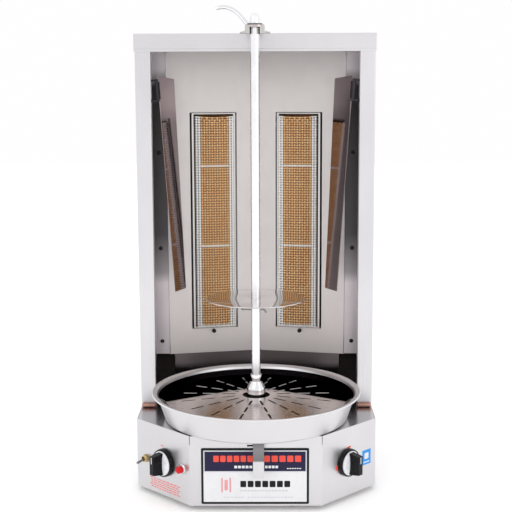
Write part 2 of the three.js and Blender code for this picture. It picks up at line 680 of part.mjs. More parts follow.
function latchHandle() {
  const { bottom, top, radius, hornRadius } = LATCH;
  const disc = post(radius, bottom, top, 0, 0, 32);
  const bore = post(LATCH.bore, bottom - 1, top + 1, 0, 0, 24);
  const slot = box(-LATCH.bore, LATCH.bore, 0, radius + 1, bottom - 1, top + 1);
  const horn = bar([[-14, -3, 883.6], [-22, -3, 893], [-36, -3, 906], [-54, -3, 914], [-71, -3, 910]],
    hornRadius, 12, 8);
  return join(cut(disc, bore, slot), horn);
}

// ---- controls on the angled panels ----

function knob() {
  const { radius, back, face, dish, grip, gripHalf, gripInset, stem, stemDepth } = KNOB;
  const skirt = turned([
    [0, back], [radius, back], [radius, 4], [radius - 1.6, face], [radius - 5, face + 0.4],
    [radius - 6, face - dish], [0, face - dish],
  ], 36);
  const handle = box(-gripHalf, gripHalf, -radius + gripInset, radius - gripInset, face - 3, grip);
  const shank = post(stem, -stemDepth, 2 * back, 0, 0, 16);
  return join(skirt, handle, shank).rotateX(Math.PI / 2);
}

function gasValve() {
  const { half, height, front, depth, stemHole } = VALVE;
  const body = box(-half, half, front, front + depth, -height, height);
  return cut(body, rodY(stemHole, front - 1, VALVE.stemDepth, 0, 0));
}

function igniterBody() {
  const { barrel, barrelDepth, bezel, bezelProud, radius, boreDepth } = BUTTON;
  const tube = rodY(barrel, -2, barrelDepth, 0, 0);
  const ring = rodY(bezel, -bezelProud, -GAP, 0, 0, 28);
  const bore = rodY(radius + GAP, -bezelProud - 1.5, boreDepth, 0, 0);
  return cut(join(tube, ring), bore);
}

function igniterButton() {
  const { radius, proud, edge, travel } = BUTTON;
  const dome = turned([
    [0, -travel - 1], [radius, -travel - 1], [radius, proud - edge], [radius - edge, proud], [0, proud],
  ], 24);
  return dome.rotateX(Math.PI / 2);
}

function toggleBody() {
  const { bush, bushProud, bore, nut, nutProud, halfWidth, halfHeight, back } = TOGGLE;
  const tube = rodY(bush, -bushProud, 4, 0, 0);
  const hex = rodY(nut, -nutProud, -GAP, 0, 0, 6);
  const casing = box(-halfWidth, halfWidth, 3, back, -halfHeight, halfHeight);
  const hollow = rodY(bore, -bushProud - 1, 0.5, 0, 0);
  return cut(join(tube, hex, casing), hollow);
}

function toggleLever() {
  const ball = new THREE.SphereGeometry(TOGGLE.ball, 12, 8);
  const arm = turned([[0, 0], [1.9, 0], [2.6, TOGGLE.lever - 2], [1.8, TOGGLE.lever], [0, TOGGLE.lever]], 14);
  return join(ball, arm.rotateX(Math.PI / 2)).rotateX(TOGGLE.tilt);
}

function buildControls(parent) {
  for (const side of [-1, 1]) {
    const panel = new THREE.Group();
    panel.position.set(side * FRONT_HALF, FRONT, 0);
    panel.rotation.z = side * PANEL_ANGLE;
    parent.add(panel);
    add(panel, sided('knob', side), 'blackPlastic', knob()).position.set(side * KNOB.x, 0, KNOB.z);
    add(panel, sided('gas_valve', side), 'brass', gasValve()).position.set(side * KNOB.x, 0, KNOB.z);
    if (side < 0) {
      add(panel, 'igniter_body', 'chrome', igniterBody()).position.set(-BUTTON.x, 0, BUTTON.z);
      add(panel, 'igniter_button', 'redPlastic', igniterButton()).position.set(-BUTTON.x, 0, BUTTON.z);
      add(panel, 'toggle_switch_body', 'brass', toggleBody()).position.set(-TOGGLE.x, 0, TOGGLE.z);
      add(panel, 'toggle_lever', 'chrome', toggleLever()).position.set(-TOGGLE.x, -TOGGLE.pivot, TOGGLE.z);
    }
  }
}

// ---- gas train ----

function gasManifold() {
  const { y, z, radius, hex: hexRadius, half, feedX, end } = MANIFOLD;
  const rail = rodX(radius, -half, half, y, z);
  const feed = rodY(radius, y, end - 4, feedX, z);
  const hex = rodY(hexRadius, REAR + 1, end, feedX, z, 6);
  const taps = [-1, 1].map((side) => {
    const inward = VALVE.front + VALVE.depth + GAP;
    const tap = rodY(MANIFOLD.tap, inward, inward + MANIFOLD.tapLength, side * KNOB.x, KNOB.z);
    return onPanel(tap, side);
  });
  return join(rail, feed, hex, ...taps);
}

function supplyTube(side) {
  const start = onPanel(new THREE.BufferGeometry().setFromPoints([
    new THREE.Vector3(side * KNOB.x, VALVE.front + VALVE.depth / 2, KNOB.z + VALVE.height + GAP),
  ]), side).attributes.position;
  const [x, y, z] = [start.getX(0), start.getY(0), start.getZ(0)];
  const points = [
    [x, y, z], [x, y, z + 8], [x, y + 12, z + 20], [x, y + 60, z + 22],
    [side * SUPPLY.x, SUPPLY.y - 50, z + 20], [side * SUPPLY.x, SUPPLY.y - 12, z + 20],
    [side * SUPPLY.x, SUPPLY.y, z + 32], [side * SUPPLY.x, SUPPLY.y, DECK_TOP - 5],
    [side * SUPPLY.x, SUPPLY.y, DECK_TOP + 20], [side * SUPPLY.x, SUPPLY.y, BURNER_BOTTOM + HOUSING.inset + 6],
  ];
  return bar(points, SUPPLY.radius, 28, 8);
}

function buildGas(parent) {
  add(parent, 'gas_manifold', 'zinc', gasManifold());
  for (const side of [-1, 1]) {
    add(parent, sided('supply_tube', side), 'copper', supplyTube(side));
  }
}

// ---- small fittings ----

function buildFittings(parent) {
  const { x, half, bottom, top, sheet } = NAMEPLATE;
  add(parent, 'nameplate', 'printed', box(x - half, x + half, FRONT - GAP - sheet, FRONT - GAP, bottom, top));
  const gland = turned([
    [0, 0], [GLAND.hole, 0], [GLAND.hole, GLAND.stem], [GLAND.radius, GLAND.stem],
    [GLAND.radius, GLAND.flange], [GLAND.neck, GLAND.tail], [0, GLAND.tail],
  ], 20).rotateX(-Math.PI / 2);
  add(parent, 'cord_gland', 'rubber', gland).position.set(GLAND.x, REAR - GLAND.stem + GAP, GLAND.z);
}

buildBase(broiler);
buildUprights(broiler);
buildWall(broiler);
add(broiler, 'wing_left', 'polished', wing(-1, WING_TOE.left));
add(broiler, 'wing_right', 'polished', wing(1, WING_TOE.right));
buildPan(broiler);
buildSpit(broiler);
buildDrive(broiler);
add(broiler, 'latch_bracket', 'zinc', latchBracket());
add(broiler, 'latch_handle', 'chrome', latchHandle());
buildControls(broiler);
buildGas(broiler);
buildFittings(broiler);

export default broiler;
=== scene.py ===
"""Vertical rotisserie broiler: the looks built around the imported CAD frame.

Shapes are written in millimetres in the part's own frame: +Z is up, the front faces -Y, and the origin
is on the floor under the spit. make_mesh() turns them into metres.
"""

import math
import random

import bmesh
import bpy
from mathutils import Matrix, Vector


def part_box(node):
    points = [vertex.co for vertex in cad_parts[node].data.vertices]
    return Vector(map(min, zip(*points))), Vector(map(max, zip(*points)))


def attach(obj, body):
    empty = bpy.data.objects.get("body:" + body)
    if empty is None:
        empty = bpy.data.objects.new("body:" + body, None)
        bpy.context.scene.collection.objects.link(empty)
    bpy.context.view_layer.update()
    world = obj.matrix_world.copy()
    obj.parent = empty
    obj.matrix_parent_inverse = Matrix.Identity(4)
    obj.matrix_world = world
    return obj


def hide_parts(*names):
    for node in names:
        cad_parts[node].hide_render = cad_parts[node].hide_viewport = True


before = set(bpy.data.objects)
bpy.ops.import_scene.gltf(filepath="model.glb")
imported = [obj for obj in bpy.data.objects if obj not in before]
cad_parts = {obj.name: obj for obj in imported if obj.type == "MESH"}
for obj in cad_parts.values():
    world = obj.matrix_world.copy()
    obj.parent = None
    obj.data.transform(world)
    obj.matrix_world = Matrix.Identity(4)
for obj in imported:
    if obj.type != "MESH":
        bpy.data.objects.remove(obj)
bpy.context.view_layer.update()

MM = 0.001
SIDES = {"left": -1, "right": 1}


def span(node):
    """Lowest and highest corner of a CAD node, in millimetres."""
    low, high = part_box(node)
    return low / MM, high / MM


# ---- driving dimensions ----

SHEET = 1.2
BEND = 2.2
HALF_WIDTH = span("base_housing")[1].x
REAR = span("base_housing")[1].y
BASE_BOTTOM = span("base_front_panel")[0].z
DECK_TOP = span("base_deck")[1].z
FRONT = span("base_front_panel")[0].y
FRONT_HALF = 120.7
SIDE_CORNER = -16.0
PANEL_ANGLE = math.atan2(SIDE_CORNER - FRONT, HALF_WIDTH - FRONT_HALF)

POST_FRONT = span("side_post_left")[0].y
UPRIGHT_BOTTOM = span("side_post_left")[0].z
UPRIGHT_TOP = span("side_post_left")[1].z
FLANGE_WIDTH = 30.0
FLANGE_RETURN = 15.0
REAR_FLANGE = 16.0

WALL_ANGLE = math.radians(12)
WALL_VERTEX = 228.0
WALL_LENGTH = 185.5
WALL_BOTTOM = span("back_wall_left")[0].z
STRIP_FRONT = span("side_strip_left")[0].y
STRIP_INNER = 174.0
WALL_SCREWS = (245.0, 441.0, 637.0)

BURNER = {"centre": 89.2, "half": 48.3, "bottom": 270.0, "top": 718.0}
TILE = {"half": 30.0, "front": 1.0, "back": 14.0}
TILE_SEAMS = (444.5, 609.7)
WIRE = {"pitch": 5.3, "radius": 1.5, "half": 38.8, "edge": 5.5, "proud": 8.5, "inward": 1.5}
CASE = {"half": 44.8, "inner": 40.9, "depth": 44.0, "rim": 2.5}
ELECTRODE = {"x": 92.0, "z": 264.0}
HINGE = {"x": 189.4, "y": 74.0, "z": 790.0, "lean": math.radians(3.8), "lug": 3.6, "pin": 1.8}
WING = {"start": 5.0, "top": 62.0, "foot": 44.0, "drop": 7.0, "length": 420.0, "half_sheet": 0.75}
WING_TOE = {"left": math.radians(28), "right": math.radians(33)}

PAN_SHEET = 1.6
DRAIN = {"x": 5.0, "y": -152.0, "radius": 5.0}
PLATE_TOP = 178.6
PLATE_SHEET = 1.4
CROWN = 6.0
SHADE_LINE = {"y": 54.0, "slope": 0.487, "blur": 9.0}
SLOT = {"rings": (54.0, 93.0, 131.0), "count": 16, "length": 27.0, "width": 4.0}
SPIT_RADIUS = 8.5
CAP_LEDGE = 884.3
PIN = {"z": 352.0, "radius": 1.9}
DISC_BORE = 8.9
SPIT_HOLES = (258.6, 285.0, 325.8, 352.0, 454.3, 520.0, 586.0)

ROOF = 869.7
CANOPY_SKIRT = 846.0
FORK = {"radius": 18.3, "bore": 9.3, "bottom": 865.0, "top": 881.0}

KNOB_X = 72.0
GRIP = {"half_width": 7.2, "half_length": 21.0, "foot": 8.0, "top": 32.0}
CONTROL_Z = 75.0
BUTTON_X = 21.0
TOGGLE = {"x": 127.0, "z": 70.0, "tilt": math.radians(14)}
HOLE = {"stem": 5.0, "button": 8.8, "toggle": 6.3, "gas": 9.0, "cord": 7.0}
NOTCH_DEPTH = 16.0
DRAIN_SLOT = {"x": (-16, 2), "z": (123, 126)}
GAS_X = -120.0
CORD = {"x": 150.0, "z": 60.0}

NAMEPLATE = {"margin": 4.2, "split": 74.5, "band": 6.4}
NOTICE = {"lines": 5, "first": 37.0, "pitch": 4.3, "from": 29.0, "indent": 4.0, "to": 116.0, "gap": 1.8}
LABEL = {"x": (115, 140), "z": (57, 86)}


# ---- placing ----

def shift(x=0.0, y=0.0, z=0.0):
    return Matrix.Translation((x, y, z))


def turn(angle, axis):
    return Matrix.Rotation(angle, 4, axis)


def wall_frame(side):
    """The plane of one rear wall: x along it from the centre fold, -y towards the spit."""
    return shift(y=WALL_VERTEX) @ turn(-SIDES[side] * WALL_ANGLE, "Z")


def panel_frame(side):
    """The plane of one angled control panel: x along it from the front corner, -y outward."""
    return shift(SIDES[side] * FRONT_HALF, FRONT) @ turn(SIDES[side] * PANEL_ANGLE, "Z")


def hinge_frame(side):
    """The line of a wing's hinge, with z along it."""
    return shift(SIDES[side] * HINGE["x"], HINGE["y"], HINGE["z"]) @ turn(SIDES[side] * HINGE["lean"], "Y")


def wing_frame(side):
    """The plane of a wing: x from its hinge to its free edge."""
    if side == "left":
        inward = math.pi / 2 - WING_TOE[side]
    else:
        inward = math.pi / 2 + WING_TOE[side]
    return hinge_frame(side) @ turn(inward, "Z")


FACING_FRONT = turn(math.pi / 2, "X")
ALONG_X = turn(math.pi / 2, "Y")
LYING = Matrix(((0, 0, 1, 0), (1, 0, 0, 0), (0, 1, 0, 0), (0, 0, 0, 1)))


# ---- mesh code ----

def make_mesh(name, verts, faces, place=Matrix(), sharp=38):
    """A mesh object from points in millimetres, faces outward and smooth up to the sharp angle."""
    mesh = bpy.data.meshes.new(name)
    mesh.from_pydata([(place @ Vector(v)) * MM for v in verts], [], faces)
    work = bmesh.new()
    work.from_mesh(mesh)
    bmesh.ops.recalc_face_normals(work, faces=work.faces)
    work.to_mesh(mesh)
    work.free()
    mesh.shade_smooth()
    mesh.set_sharp_from_angle(angle=math.radians(sharp))
    obj = bpy.data.objects.new(name, mesh)
    bpy.context.scene.collection.objects.link(obj)
    return obj


def mark_smooth(mesh, sharp=38):
    """Smooth faces with creases where they meet at more than the sharp angle."""
    stored = mesh.attributes.get("custom_normal")
    if stored:
        mesh.attributes.remove(stored)
    mesh.shade_smooth()
    mesh.set_sharp_from_angle(angle=math.radians(sharp))


def even_normals(obj):
    """Lets the large faces set the shading, so that flat sheets look flat up to their rounded edges."""
    modifier = obj.modifiers.new("even", "WEIGHTED_NORMAL")
    modifier.keep_sharp = True
    modifier.weight = 80


def settle(obj, sharp=38):
    """Applies the object's modifiers, or turns a curve into its mesh."""
    graph = bpy.context.evaluated_depsgraph_get()
    mesh = bpy.data.meshes.new_from_object(obj.evaluated_get(graph))
    mesh.name = obj.name
    if obj.type == "MESH":
        obj.modifiers.clear()
        obj.data = mesh
    else:
        name = obj.name
        bpy.data.objects.remove(obj)
        obj = bpy.data.objects.new(name, mesh)
        bpy.context.scene.collection.objects.link(obj)
    if sharp:
        mark_smooth(mesh, sharp)
    return obj


def join(name, objects):
    """One object that holds the meshes of several."""
    work = bmesh.new()
    for obj in objects:
        work.from_mesh(obj.data)
        bpy.data.objects.remove(obj)
    mesh = bpy.data.meshes.new(name)
    work.to_mesh(mesh)
    work.free()
    mark_smooth(mesh)
    obj = bpy.data.objects.new(name, mesh)
    bpy.context.scene.collection.objects.link(obj)
    even_normals(obj)
    return settle(obj, None)


def combine(obj, tools, operation="DIFFERENCE"):
    """Cuts the tools from the object, or adds them to it, and removes them."""
    for tool in tools:
        modifier = obj.modifiers.new("combine", "BOOLEAN")
        modifier.operation = operation
        modifier.solver = "EXACT"
        modifier.object = tool
    obj = settle(obj)
    for tool in tools:
        bpy.data.objects.remove(tool)
    return obj


def soften(obj, width=0.3, segments=2, angle=35):
    """Rounds the object's edges by width millimetres."""
    modifier = obj.modifiers.new("soften", "BEVEL")
    modifier.width = width * MM
    modifier.segments = segments
    modifier.limit_method = "ANGLE"
    modifier.angle_limit = math.radians(angle)
    obj = settle(obj)
    even_normals(obj)
    return settle(obj, None)


def rounded(points, radius, steps=5, closed=False):
    """A path of [x, y] points with an arc at each corner. A third number is that corner's own radius."""
    out = []
    for i, point in enumerate(points):
        corner = Vector(point[:2])
        own = point[2] if len(point) > 2 else radius
        if own <= 0 or (not closed and i in (0, len(points) - 1)):
            out.append(corner)
            continue
        before = Vector(points[i - 1][:2]) - corner
        after = Vector(points[(i + 1) % len(points)][:2]) - corner
        half = before.angle(after) / 2
        if math.pi / 2 - half < 0.01:
            out.append(corner)
            continue
        reach = min(own / math.tan(half), 0.48 * min(before.length, after.length))
        used = reach * math.tan(half)
        before.normalize()
        after.normalize()
        centre = corner + (before + after).normalized() * (used / math.sin(half))
        first = corner + before * reach - centre
        last = corner + after * reach - centre
        sweep = math.atan2(first.x * last.y - first.y * last.x, first.dot(last))
        for k in range(steps + 1):
            angle = sweep * k / steps
            cos, sin = math.cos(angle), math.sin(angle)
            out.append(centre + Vector((first.x * cos - first.y * sin, first.x * sin + first.y * cos)))
    return out


def thickened(path, thickness):
    """The closed outline of a folded sheet, thickened to the left of its path."""
    offset = []
    for i, point in enumerate(path):
        first = (point - path[i - 1]).normalized() if i > 0 else None
        second = (path[i + 1] - point).normalized() if i < len(path) - 1 else None
        first = first or second
        second = second or first
        normal = Vector((-first.y - second.y, first.x + second.x)).normalized()
        offset.append(point + normal * (thickness / normal.dot(Vector((-first.y, first.x)))))
    return path + offset[::-1]


def prism(name, outline, low, high, place=Matrix(), sharp=38):
    """A solid with a plan outline, standing from low to high."""
    count = len(outline)
    verts = [(p[0], p[1], low) for p in outline] + [(p[0], p[1], high) for p in outline]
    faces = [tuple(range(count)), tuple(range(count, 2 * count))]
    for i in range(count):
        j = (i + 1) % count
        faces.append((i, j, count + j, count + i))
    return make_mesh(name, verts, faces, place, sharp)


def rectangle(x, y):
    return [(x[0], y[0]), (x[1], y[0]), (x[1], y[1]), (x[0], y[1])]


def block(name, x, y, z, place=Matrix(), edge=0.0):
    """A box from x[0] to x[1] and so on, its edges rounded by edge millimetres."""
    obj = prism(name, rectangle(x, y), z[0], z[1], place)
    return soften(obj, edge, 3) if edge else obj


def folded(name, path, low, high, place=Matrix(), thickness=SHEET, bend=BEND):
    """A folded sheet, standing from low to high."""
    return prism(name, thickened(rounded(path, bend), thickness), low, high, place)


def lathe(name, profile, place=Matrix(), segments=96, ring=False, sharp=38):
    """A profile of [radius, z] points turned about z. A ring's profile closes on itself."""
    verts, rows = [], []
    for radius, z in profile:
        if radius < 1e-6:
            rows.append([len(verts)] * segments)
            verts.append((0, 0, z))
            continue
        rows.append(range(len(verts), len(verts) + segments))
        for k in range(segments):
            angle = 2 * math.pi * k / segments
            verts.append((radius * math.cos(angle), radius * math.sin(angle), z))
    pairs = list(zip(rows, rows[1:]))
    if ring:
        pairs.append((rows[-1], rows[0]))
    faces = []
    for lower, upper in pairs:
        for k in range(segments):
            j = (k + 1) % segments
            corners = (lower[k], lower[j], upper[j], upper[k])
            face = tuple(dict.fromkeys(corners))
            if len(face) > 2:
                faces.append(face)
    return make_mesh(name, verts, faces, place, sharp)


def drum(name, radius, low, high, place=Matrix(), segments=64, edge=0.0):
    """A plain cylinder with rounded rims."""
    profile = [(0, low, 0), (radius, low, edge), (radius, high, edge), (0, high, 0)]
    return lathe(name, rounded(profile, edge, 3), place, segments)


def swept(name, lines, radius, place=Matrix(), sides=2, smooth=True, fill=True):
    """Round bars along lines of [x, y, z] points. A fourth number scales the radius there."""
    data = bpy.data.curves.new(name, "CURVE")
    data.dimensions = "3D"
    data.bevel_depth = radius * MM
    data.bevel_resolution = sides
    data.use_fill_caps = fill
    data.resolution_u = 10
    for line in lines:
        spline = data.splines.new("NURBS" if smooth else "POLY")
        spline.points.add(len(line) - 1)
        for point, given in zip(spline.points, line):
            point.co = (*((place @ Vector(given[:3])) * MM), 1)
            point.radius = given[3] if len(given) > 3 else 1
        if smooth:
            spline.use_endpoint_u = True
            spline.order_u = min(4, len(line))
    obj = bpy.data.objects.new(name, data)
    bpy.context.scene.collection.objects.link(obj)
    return settle(obj, 50)


def copies(source, name, places):
    """The source's mesh again at each place, as objects of their own; the source is removed."""
    made = []
    for i, place in enumerate(places):
        mesh = source.data.copy()
        mesh.transform(shift(*(place.translation * MM)) @ place.to_3x3().to_4x4())
        obj = bpy.data.objects.new(f"{name}_{i + 1}", mesh)
        bpy.context.scene.collection.objects.link(obj)
        made.append(obj)
    bpy.data.objects.remove(source)
    return made


# ---- materials ----

LOOKS = {}


class Look:
    """A procedural material, kept in LOOKS by name: a Principled shader and the textures that feed it."""

    def __init__(self, name, metallic=0.0, roughness=0.5, **sockets):
        self.material = LOOKS[name] = bpy.data.materials.new(name)
        self.material.use_nodes = True
        self.nodes = self.material.node_tree.nodes
        self.links = self.material.node_tree.links
        self.shader = self.nodes["Principled BSDF"]
        self.shader.inputs["Metallic"].default_value = metallic
        self.shader.inputs["Roughness"].default_value = roughness
        for socket, value in sockets.items():
            self.shader.inputs[socket.replace("_", " ")].default_value = value
        self.place = self.nodes.new("ShaderNodeTexCoord").outputs["Object"]

    def stretched(self, scale):
        mapping = self.nodes.new("ShaderNodeMapping")
        mapping.inputs["Scale"].default_value = scale
        self.links.new(self.place, mapping.inputs["Vector"])
        return mapping.outputs["Vector"]

    def noise(self, scale, detail=3.0, rough=0.55):
        """Noise with its own scale along x, y and z, in waves per metre."""
        node = self.nodes.new("ShaderNodeTexNoise")
        node.inputs["Scale"].default_value = 1.0
        node.inputs["Detail"].default_value = detail
        node.inputs["Roughness"].default_value = rough
        self.links.new(self.stretched(scale), node.inputs["Vector"])
        return node.outputs["Fac"]

    def cells(self, scale):
        node = self.nodes.new("ShaderNodeTexVoronoi")
        node.inputs["Scale"].default_value = 1.0
        node.inputs["Randomness"].default_value = 0.15
        self.links.new(self.stretched(scale), node.inputs["Vector"])
        return node.outputs["Distance"]

    def ramp(self, value, stops):
        node = self.nodes.new("ShaderNodeValToRGB")
        ramp = node.color_ramp
        while len(ramp.elements) < len(stops):
            ramp.elements.new(0.5)
        for element, (position, colour) in zip(ramp.elements, stops):
            element.position = position
            element.color = (*colour, 1) if hasattr(colour, "__len__") else (colour, colour, colour, 1)
        self.links.new(value, node.inputs["Fac"])
        return node.outputs["Color"]

    def colour(self, value, stops):
        self.links.new(self.ramp(value, stops), self.shader.inputs["Base Color"])

    def height(self):
        node = self.nodes.new("ShaderNodeSeparateXYZ")
        self.links.new(self.place, node.inputs["Vector"])
        return node.outputs["Z"]

    def between(self, value, low, high):
        """The value's place between low and high, from 0 to 1."""
        node = self.nodes.new("ShaderNodeMapRange")
        node.inputs["From Min"].default_value = low
        node.inputs["From Max"].default_value = high
        self.links.new(value, node.inputs["Value"])
        return node.outputs["Result"]

    def painted_reflection_zone(self):
        """From 0 in front of the plate's two rear quarters to 1 inside them, where the painted reflection
        lies.
        """
        parts = self.nodes.new("ShaderNodeSeparateXYZ")
        self.links.new(self.place, parts.inputs["Vector"])
        off_centre = self.nodes.new("ShaderNodeMath")
        off_centre.operation = "ABSOLUTE"
        self.links.new(parts.outputs["X"], off_centre.inputs[0])
        line = self.nodes.new("ShaderNodeMath")
        line.operation = "MULTIPLY_ADD"
        self.links.new(off_centre.outputs["Value"], line.inputs[0])
        line.inputs[1].default_value = SHADE_LINE["slope"]
        self.links.new(parts.outputs["Y"], line.inputs[2])
        half = SHADE_LINE["blur"] / 2
        middle = SHADE_LINE["y"]
        return self.between(line.outputs["Value"], (middle - half) * MM, (middle + half) * MM)

    def tinted(self, colour, tint):
        """The base colour, as one texture multiplied by another."""
        node = self.nodes.new("ShaderNodeMix")
        node.data_type = "RGBA"
        node.blend_type = "MULTIPLY"
        node.inputs["Factor"].default_value = 1.0
        self.links.new(colour, node.inputs["A"])
        self.links.new(tint, node.inputs["B"])
        self.links.new(node.outputs["Result"], self.shader.inputs["Base Color"])

    def gloss(self, value, low, high):
        self.links.new(self.ramp(value, [(0.3, low), (0.7, high)]), self.shader.inputs["Roughness"])

    def bump(self, value, strength, distance):
        node = self.nodes.new("ShaderNodeBump")
        node.inputs["Strength"].default_value = strength
        node.inputs["Distance"].default_value = distance
        self.links.new(value, node.inputs["Height"])
        before = self.shader.inputs["Normal"]
        if before.is_linked:
            self.links.new(before.links[0].from_socket, node.inputs["Normal"])
        self.links.new(node.outputs["Normal"], before)


def shade(colour, factor):
    return tuple(min(1.0, c * factor) for c in colour)


GRAIN = {"across": (14, 14, 900), "upright": (700, 700, 10), "fore": (900, 14, 900), "round": (60, 60, 900)}


def brushed(name, colour, roughness=0.3, grain="upright", spread=0.05, waves=0.06, scratch=0.04):
    """Stainless sheet with a fine grain, soft stains and a slightly uneven surface."""
    look = Look(name, metallic=1.0)
    fine = look.noise(GRAIN[grain], 5, 0.62)
    broad = look.noise((5, 5, 3.2), 3)
    look.colour(broad, [(0.35, shade(colour, 1 - spread)), (0.65, shade(colour, 1 + spread))])
    look.gloss(fine, roughness - 0.05, roughness + 0.07)
    look.bump(look.noise((3.4, 3.4, 2.6), 1), waves, 0.004)
    look.bump(fine, scratch, 0.00012)


def zoned(name, colour, roughness, zones, spread=0.05, metallic=1.0, grain=0.01):
    """Sheet that is darker in some zones: pairs of a height in millimetres and a factor."""
    look = Look(name, metallic=metallic)
    height = look.height()
    low, high = zones[0][0] * MM, zones[-1][0] * MM
    stops = [((z * MM - low) / (high - low), shade(colour, factor)) for z, factor in zones]
    stains = look.ramp(look.noise((18, 18, 14), 4), [(0.3, 1 - spread), (0.7, 1.0)])
    look.tinted(look.ramp(look.between(height, low, high), stops), stains)
    look.bump(look.noise(GRAIN["upright"], 5, 0.62), grain, 0.00012)
    look.gloss(look.noise((60, 60, 40), 5), roughness * 0.93, roughness * 1.1)
    look.bump(look.noise((7, 7, 5), 1), 0.03, 0.001)


def split(name, front, rear, roughness, metallic=1.0):
    """Polished plate with a painted reflection: one colour in front and another in the two quarters under
    the burners, its specular tint following the rear colour.
    """
    look = Look(name, metallic=metallic)
    stains = look.ramp(look.noise((18, 18, 14), 4), [(0.3, 0.94), (0.7, 1.0)])
    painted_reflection_zone = look.painted_reflection_zone()
    look.tinted(look.ramp(painted_reflection_zone, [(0, front), (1, rear)]), stains)
    painted_reflection_tint = look.ramp(painted_reflection_zone, [(0, (1, 1, 1)), (1, rear)])
    look.links.new(painted_reflection_tint, look.shader.inputs["Specular Tint"])
    look.gloss(look.noise((60, 60, 40), 5), roughness * 0.8, roughness * 1.3)
    look.bump(look.noise((7, 7, 5), 1), 0.04, 0.001)


def mirror(name, colour, roughness=0.06, spread=0.06, waves=0.04):
    """Polished or plated metal with faint wipe marks."""
    look = Look(name, metallic=1.0)
    stains = look.noise((18, 18, 14), 4)
    look.colour(stains, [(0.35, shade(colour, 1 - spread)), (0.65, shade(colour, 1 + spread))])
    look.gloss(look.noise((60, 60, 40), 5), roughness * 0.6, roughness * 1.8)
    look.bump(look.noise((7, 7, 5), 1), waves, 0.001)


def cast(name, colour, roughness=0.6, grain=900, depth=0.0004):
    """A painted casting, rubber or matt moulding with a grained surface."""
    look = Look(name, roughness=roughness)
    rough = look.noise((grain,) * 3, 4)
    look.colour(look.noise((60,) * 3, 3), [(0.3, shade(colour, 0.75)), (0.7, shade(colour, 1.25))])
    look.gloss(rough, roughness - 0.08, roughness + 0.1)
    look.bump(rough, 0.35, depth)


def glossy(name, colour, roughness=0.18, shine=0.25):
    """Moulded plastic with a faint orange peel and handling marks."""
    look = Look(name, roughness=roughness, Specular_IOR_Level=shine)
    look.colour(look.noise((140,) * 3, 3), [(0.3, shade(colour, 0.88)), (0.7, shade(colour, 1.12))])
    look.gloss(look.noise((300,) * 3, 4), roughness * 0.8, roughness * 1.4)
    look.bump(look.noise((1200,) * 3, 2), 0.06, 0.0002)


def ceramic(name):
    """A burner plaque with rows of small flame holes, painted dark brown as the shade behind the wires, in
    uneven patches.
    """
    look = Look(name, roughness=0.9)
    holes = look.cells((620, 620, 620))
    patches = look.noise((24, 24, 30), 4)
    look.colour(patches, [(0.3, (0.07, 0.025, 0.007)), (0.7, (0.14, 0.06, 0.018))])
    look.bump(holes, 0.6, 0.0008)


def wire(name, low, high):
    """Heat-stained woven wire."""
    look = Look(name, metallic=0.2, roughness=0.45)
    look.colour(look.noise((160, 160, 90), 4), [(0.3, low), (0.7, high)])
    look.bump(look.noise((1500,) * 3, 2), 0.15, 0.0002)


def printed(name, colour):
    """Printing ink under a thin clear coat."""
    look = Look(name, roughness=0.35, Specular_IOR_Level=0.15)
    look.colour(look.noise((90,) * 3, 3), [(0.3, shade(colour, 0.97)), (0.7, shade(colour, 1.02))])
    look.gloss(look.noise((500,) * 3, 3), 0.3, 0.42)


STEEL = (0.70, 0.69, 0.705)
brushed("across", STEEL, 0.30, "across")
brushed("upright", STEEL, 0.30, "upright")
brushed("panel", shade(STEEL, 0.95), 0.32, "upright")
zoned("wall", (0.90, 0.85, 0.835), 0.46, [(215, 0.98), (330, 0.82), (560, 0.72), (870, 0.70)], 0.012,
      grain=0.012)
# painted shade: the side strips darken from 390 to 770 mm, where they lie behind the wings
zoned("strip", (0.97, 0.90, 0.93), 0.36,
      [(215, 1), (368, 1), (390, 0.5), (470, 0.15), (770, 0.08), (805, 1), (870, 1)], metallic=0.75)
brushed("fore", (0.50, 0.49, 0.51), 0.2, "fore")
brushed("pan", shade(STEEL, 1.04), 0.33, "round", 0.03)
# painted shade: the lower panel is black below 176 mm and turns dark grey by 190 mm, the shaded band just
# above the pan rim
zoned("dark_panel_painted_shade", (0.27, 0.235, 0.24), 0.34, [(140, 0.05), (176, 0.05), (190, 1), (234, 0.9)])
# painted shade: the drain tongue is darker above 103 mm, where its channel lies in shadow under the pan
zoned("tongue", STEEL, 0.34, [(70, 1), (100, 1), (103, 0.3), (122, 0.4), (143, 0.25)])
# painted reflection: the plate's rear quarters are near black, as if reflecting the dark gap under the
# walls; the slot edges are painted dark in front and bright behind, a painted highlight
split("plate", (0.62, 0.555, 0.535), (0.012, 0.010, 0.012), 0.22)
split("slot_edge", (0.02, 0.018, 0.018), (0.95, 0.94, 0.95), 0.4, 0.3)
zoned("wing", (0.50, 0.42, 0.44), 0.05, [(300, 0.6), (700, 0.62), (735, 1), (870, 1)], 0.04, grain=0.0)
mirror("disc", (0.72, 0.70, 0.70), 0.07)
mirror("chrome", (0.82, 0.82, 0.84), 0.05, 0.02, 0.05)
mirror("spit", (0.90, 0.90, 0.92), 0.2, 0.02, 0.05)
brushed("zinc", (0.34, 0.33, 0.32), 0.4, "round", 0.12)
brushed("dark_zinc", (0.05, 0.045, 0.05), 0.45, "round", 0.12)
brushed("bright_zinc", (0.62, 0.60, 0.58), 0.3, "round", 0.1)
mirror("brass", (0.56, 0.43, 0.22), 0.25, 0.12)
zoned("sleeve", (0.60, 0.54, 0.53), 0.2, [(876, 1), (880.5, 1), (881.5, 0.25), (884, 0.25)])
mirror("copper", (0.44, 0.25, 0.20), 0.28, 0.18)
cast("iron", (0.05, 0.05, 0.055), 0.55)
cast("rubber", (0.013, 0.013, 0.013), 0.7)
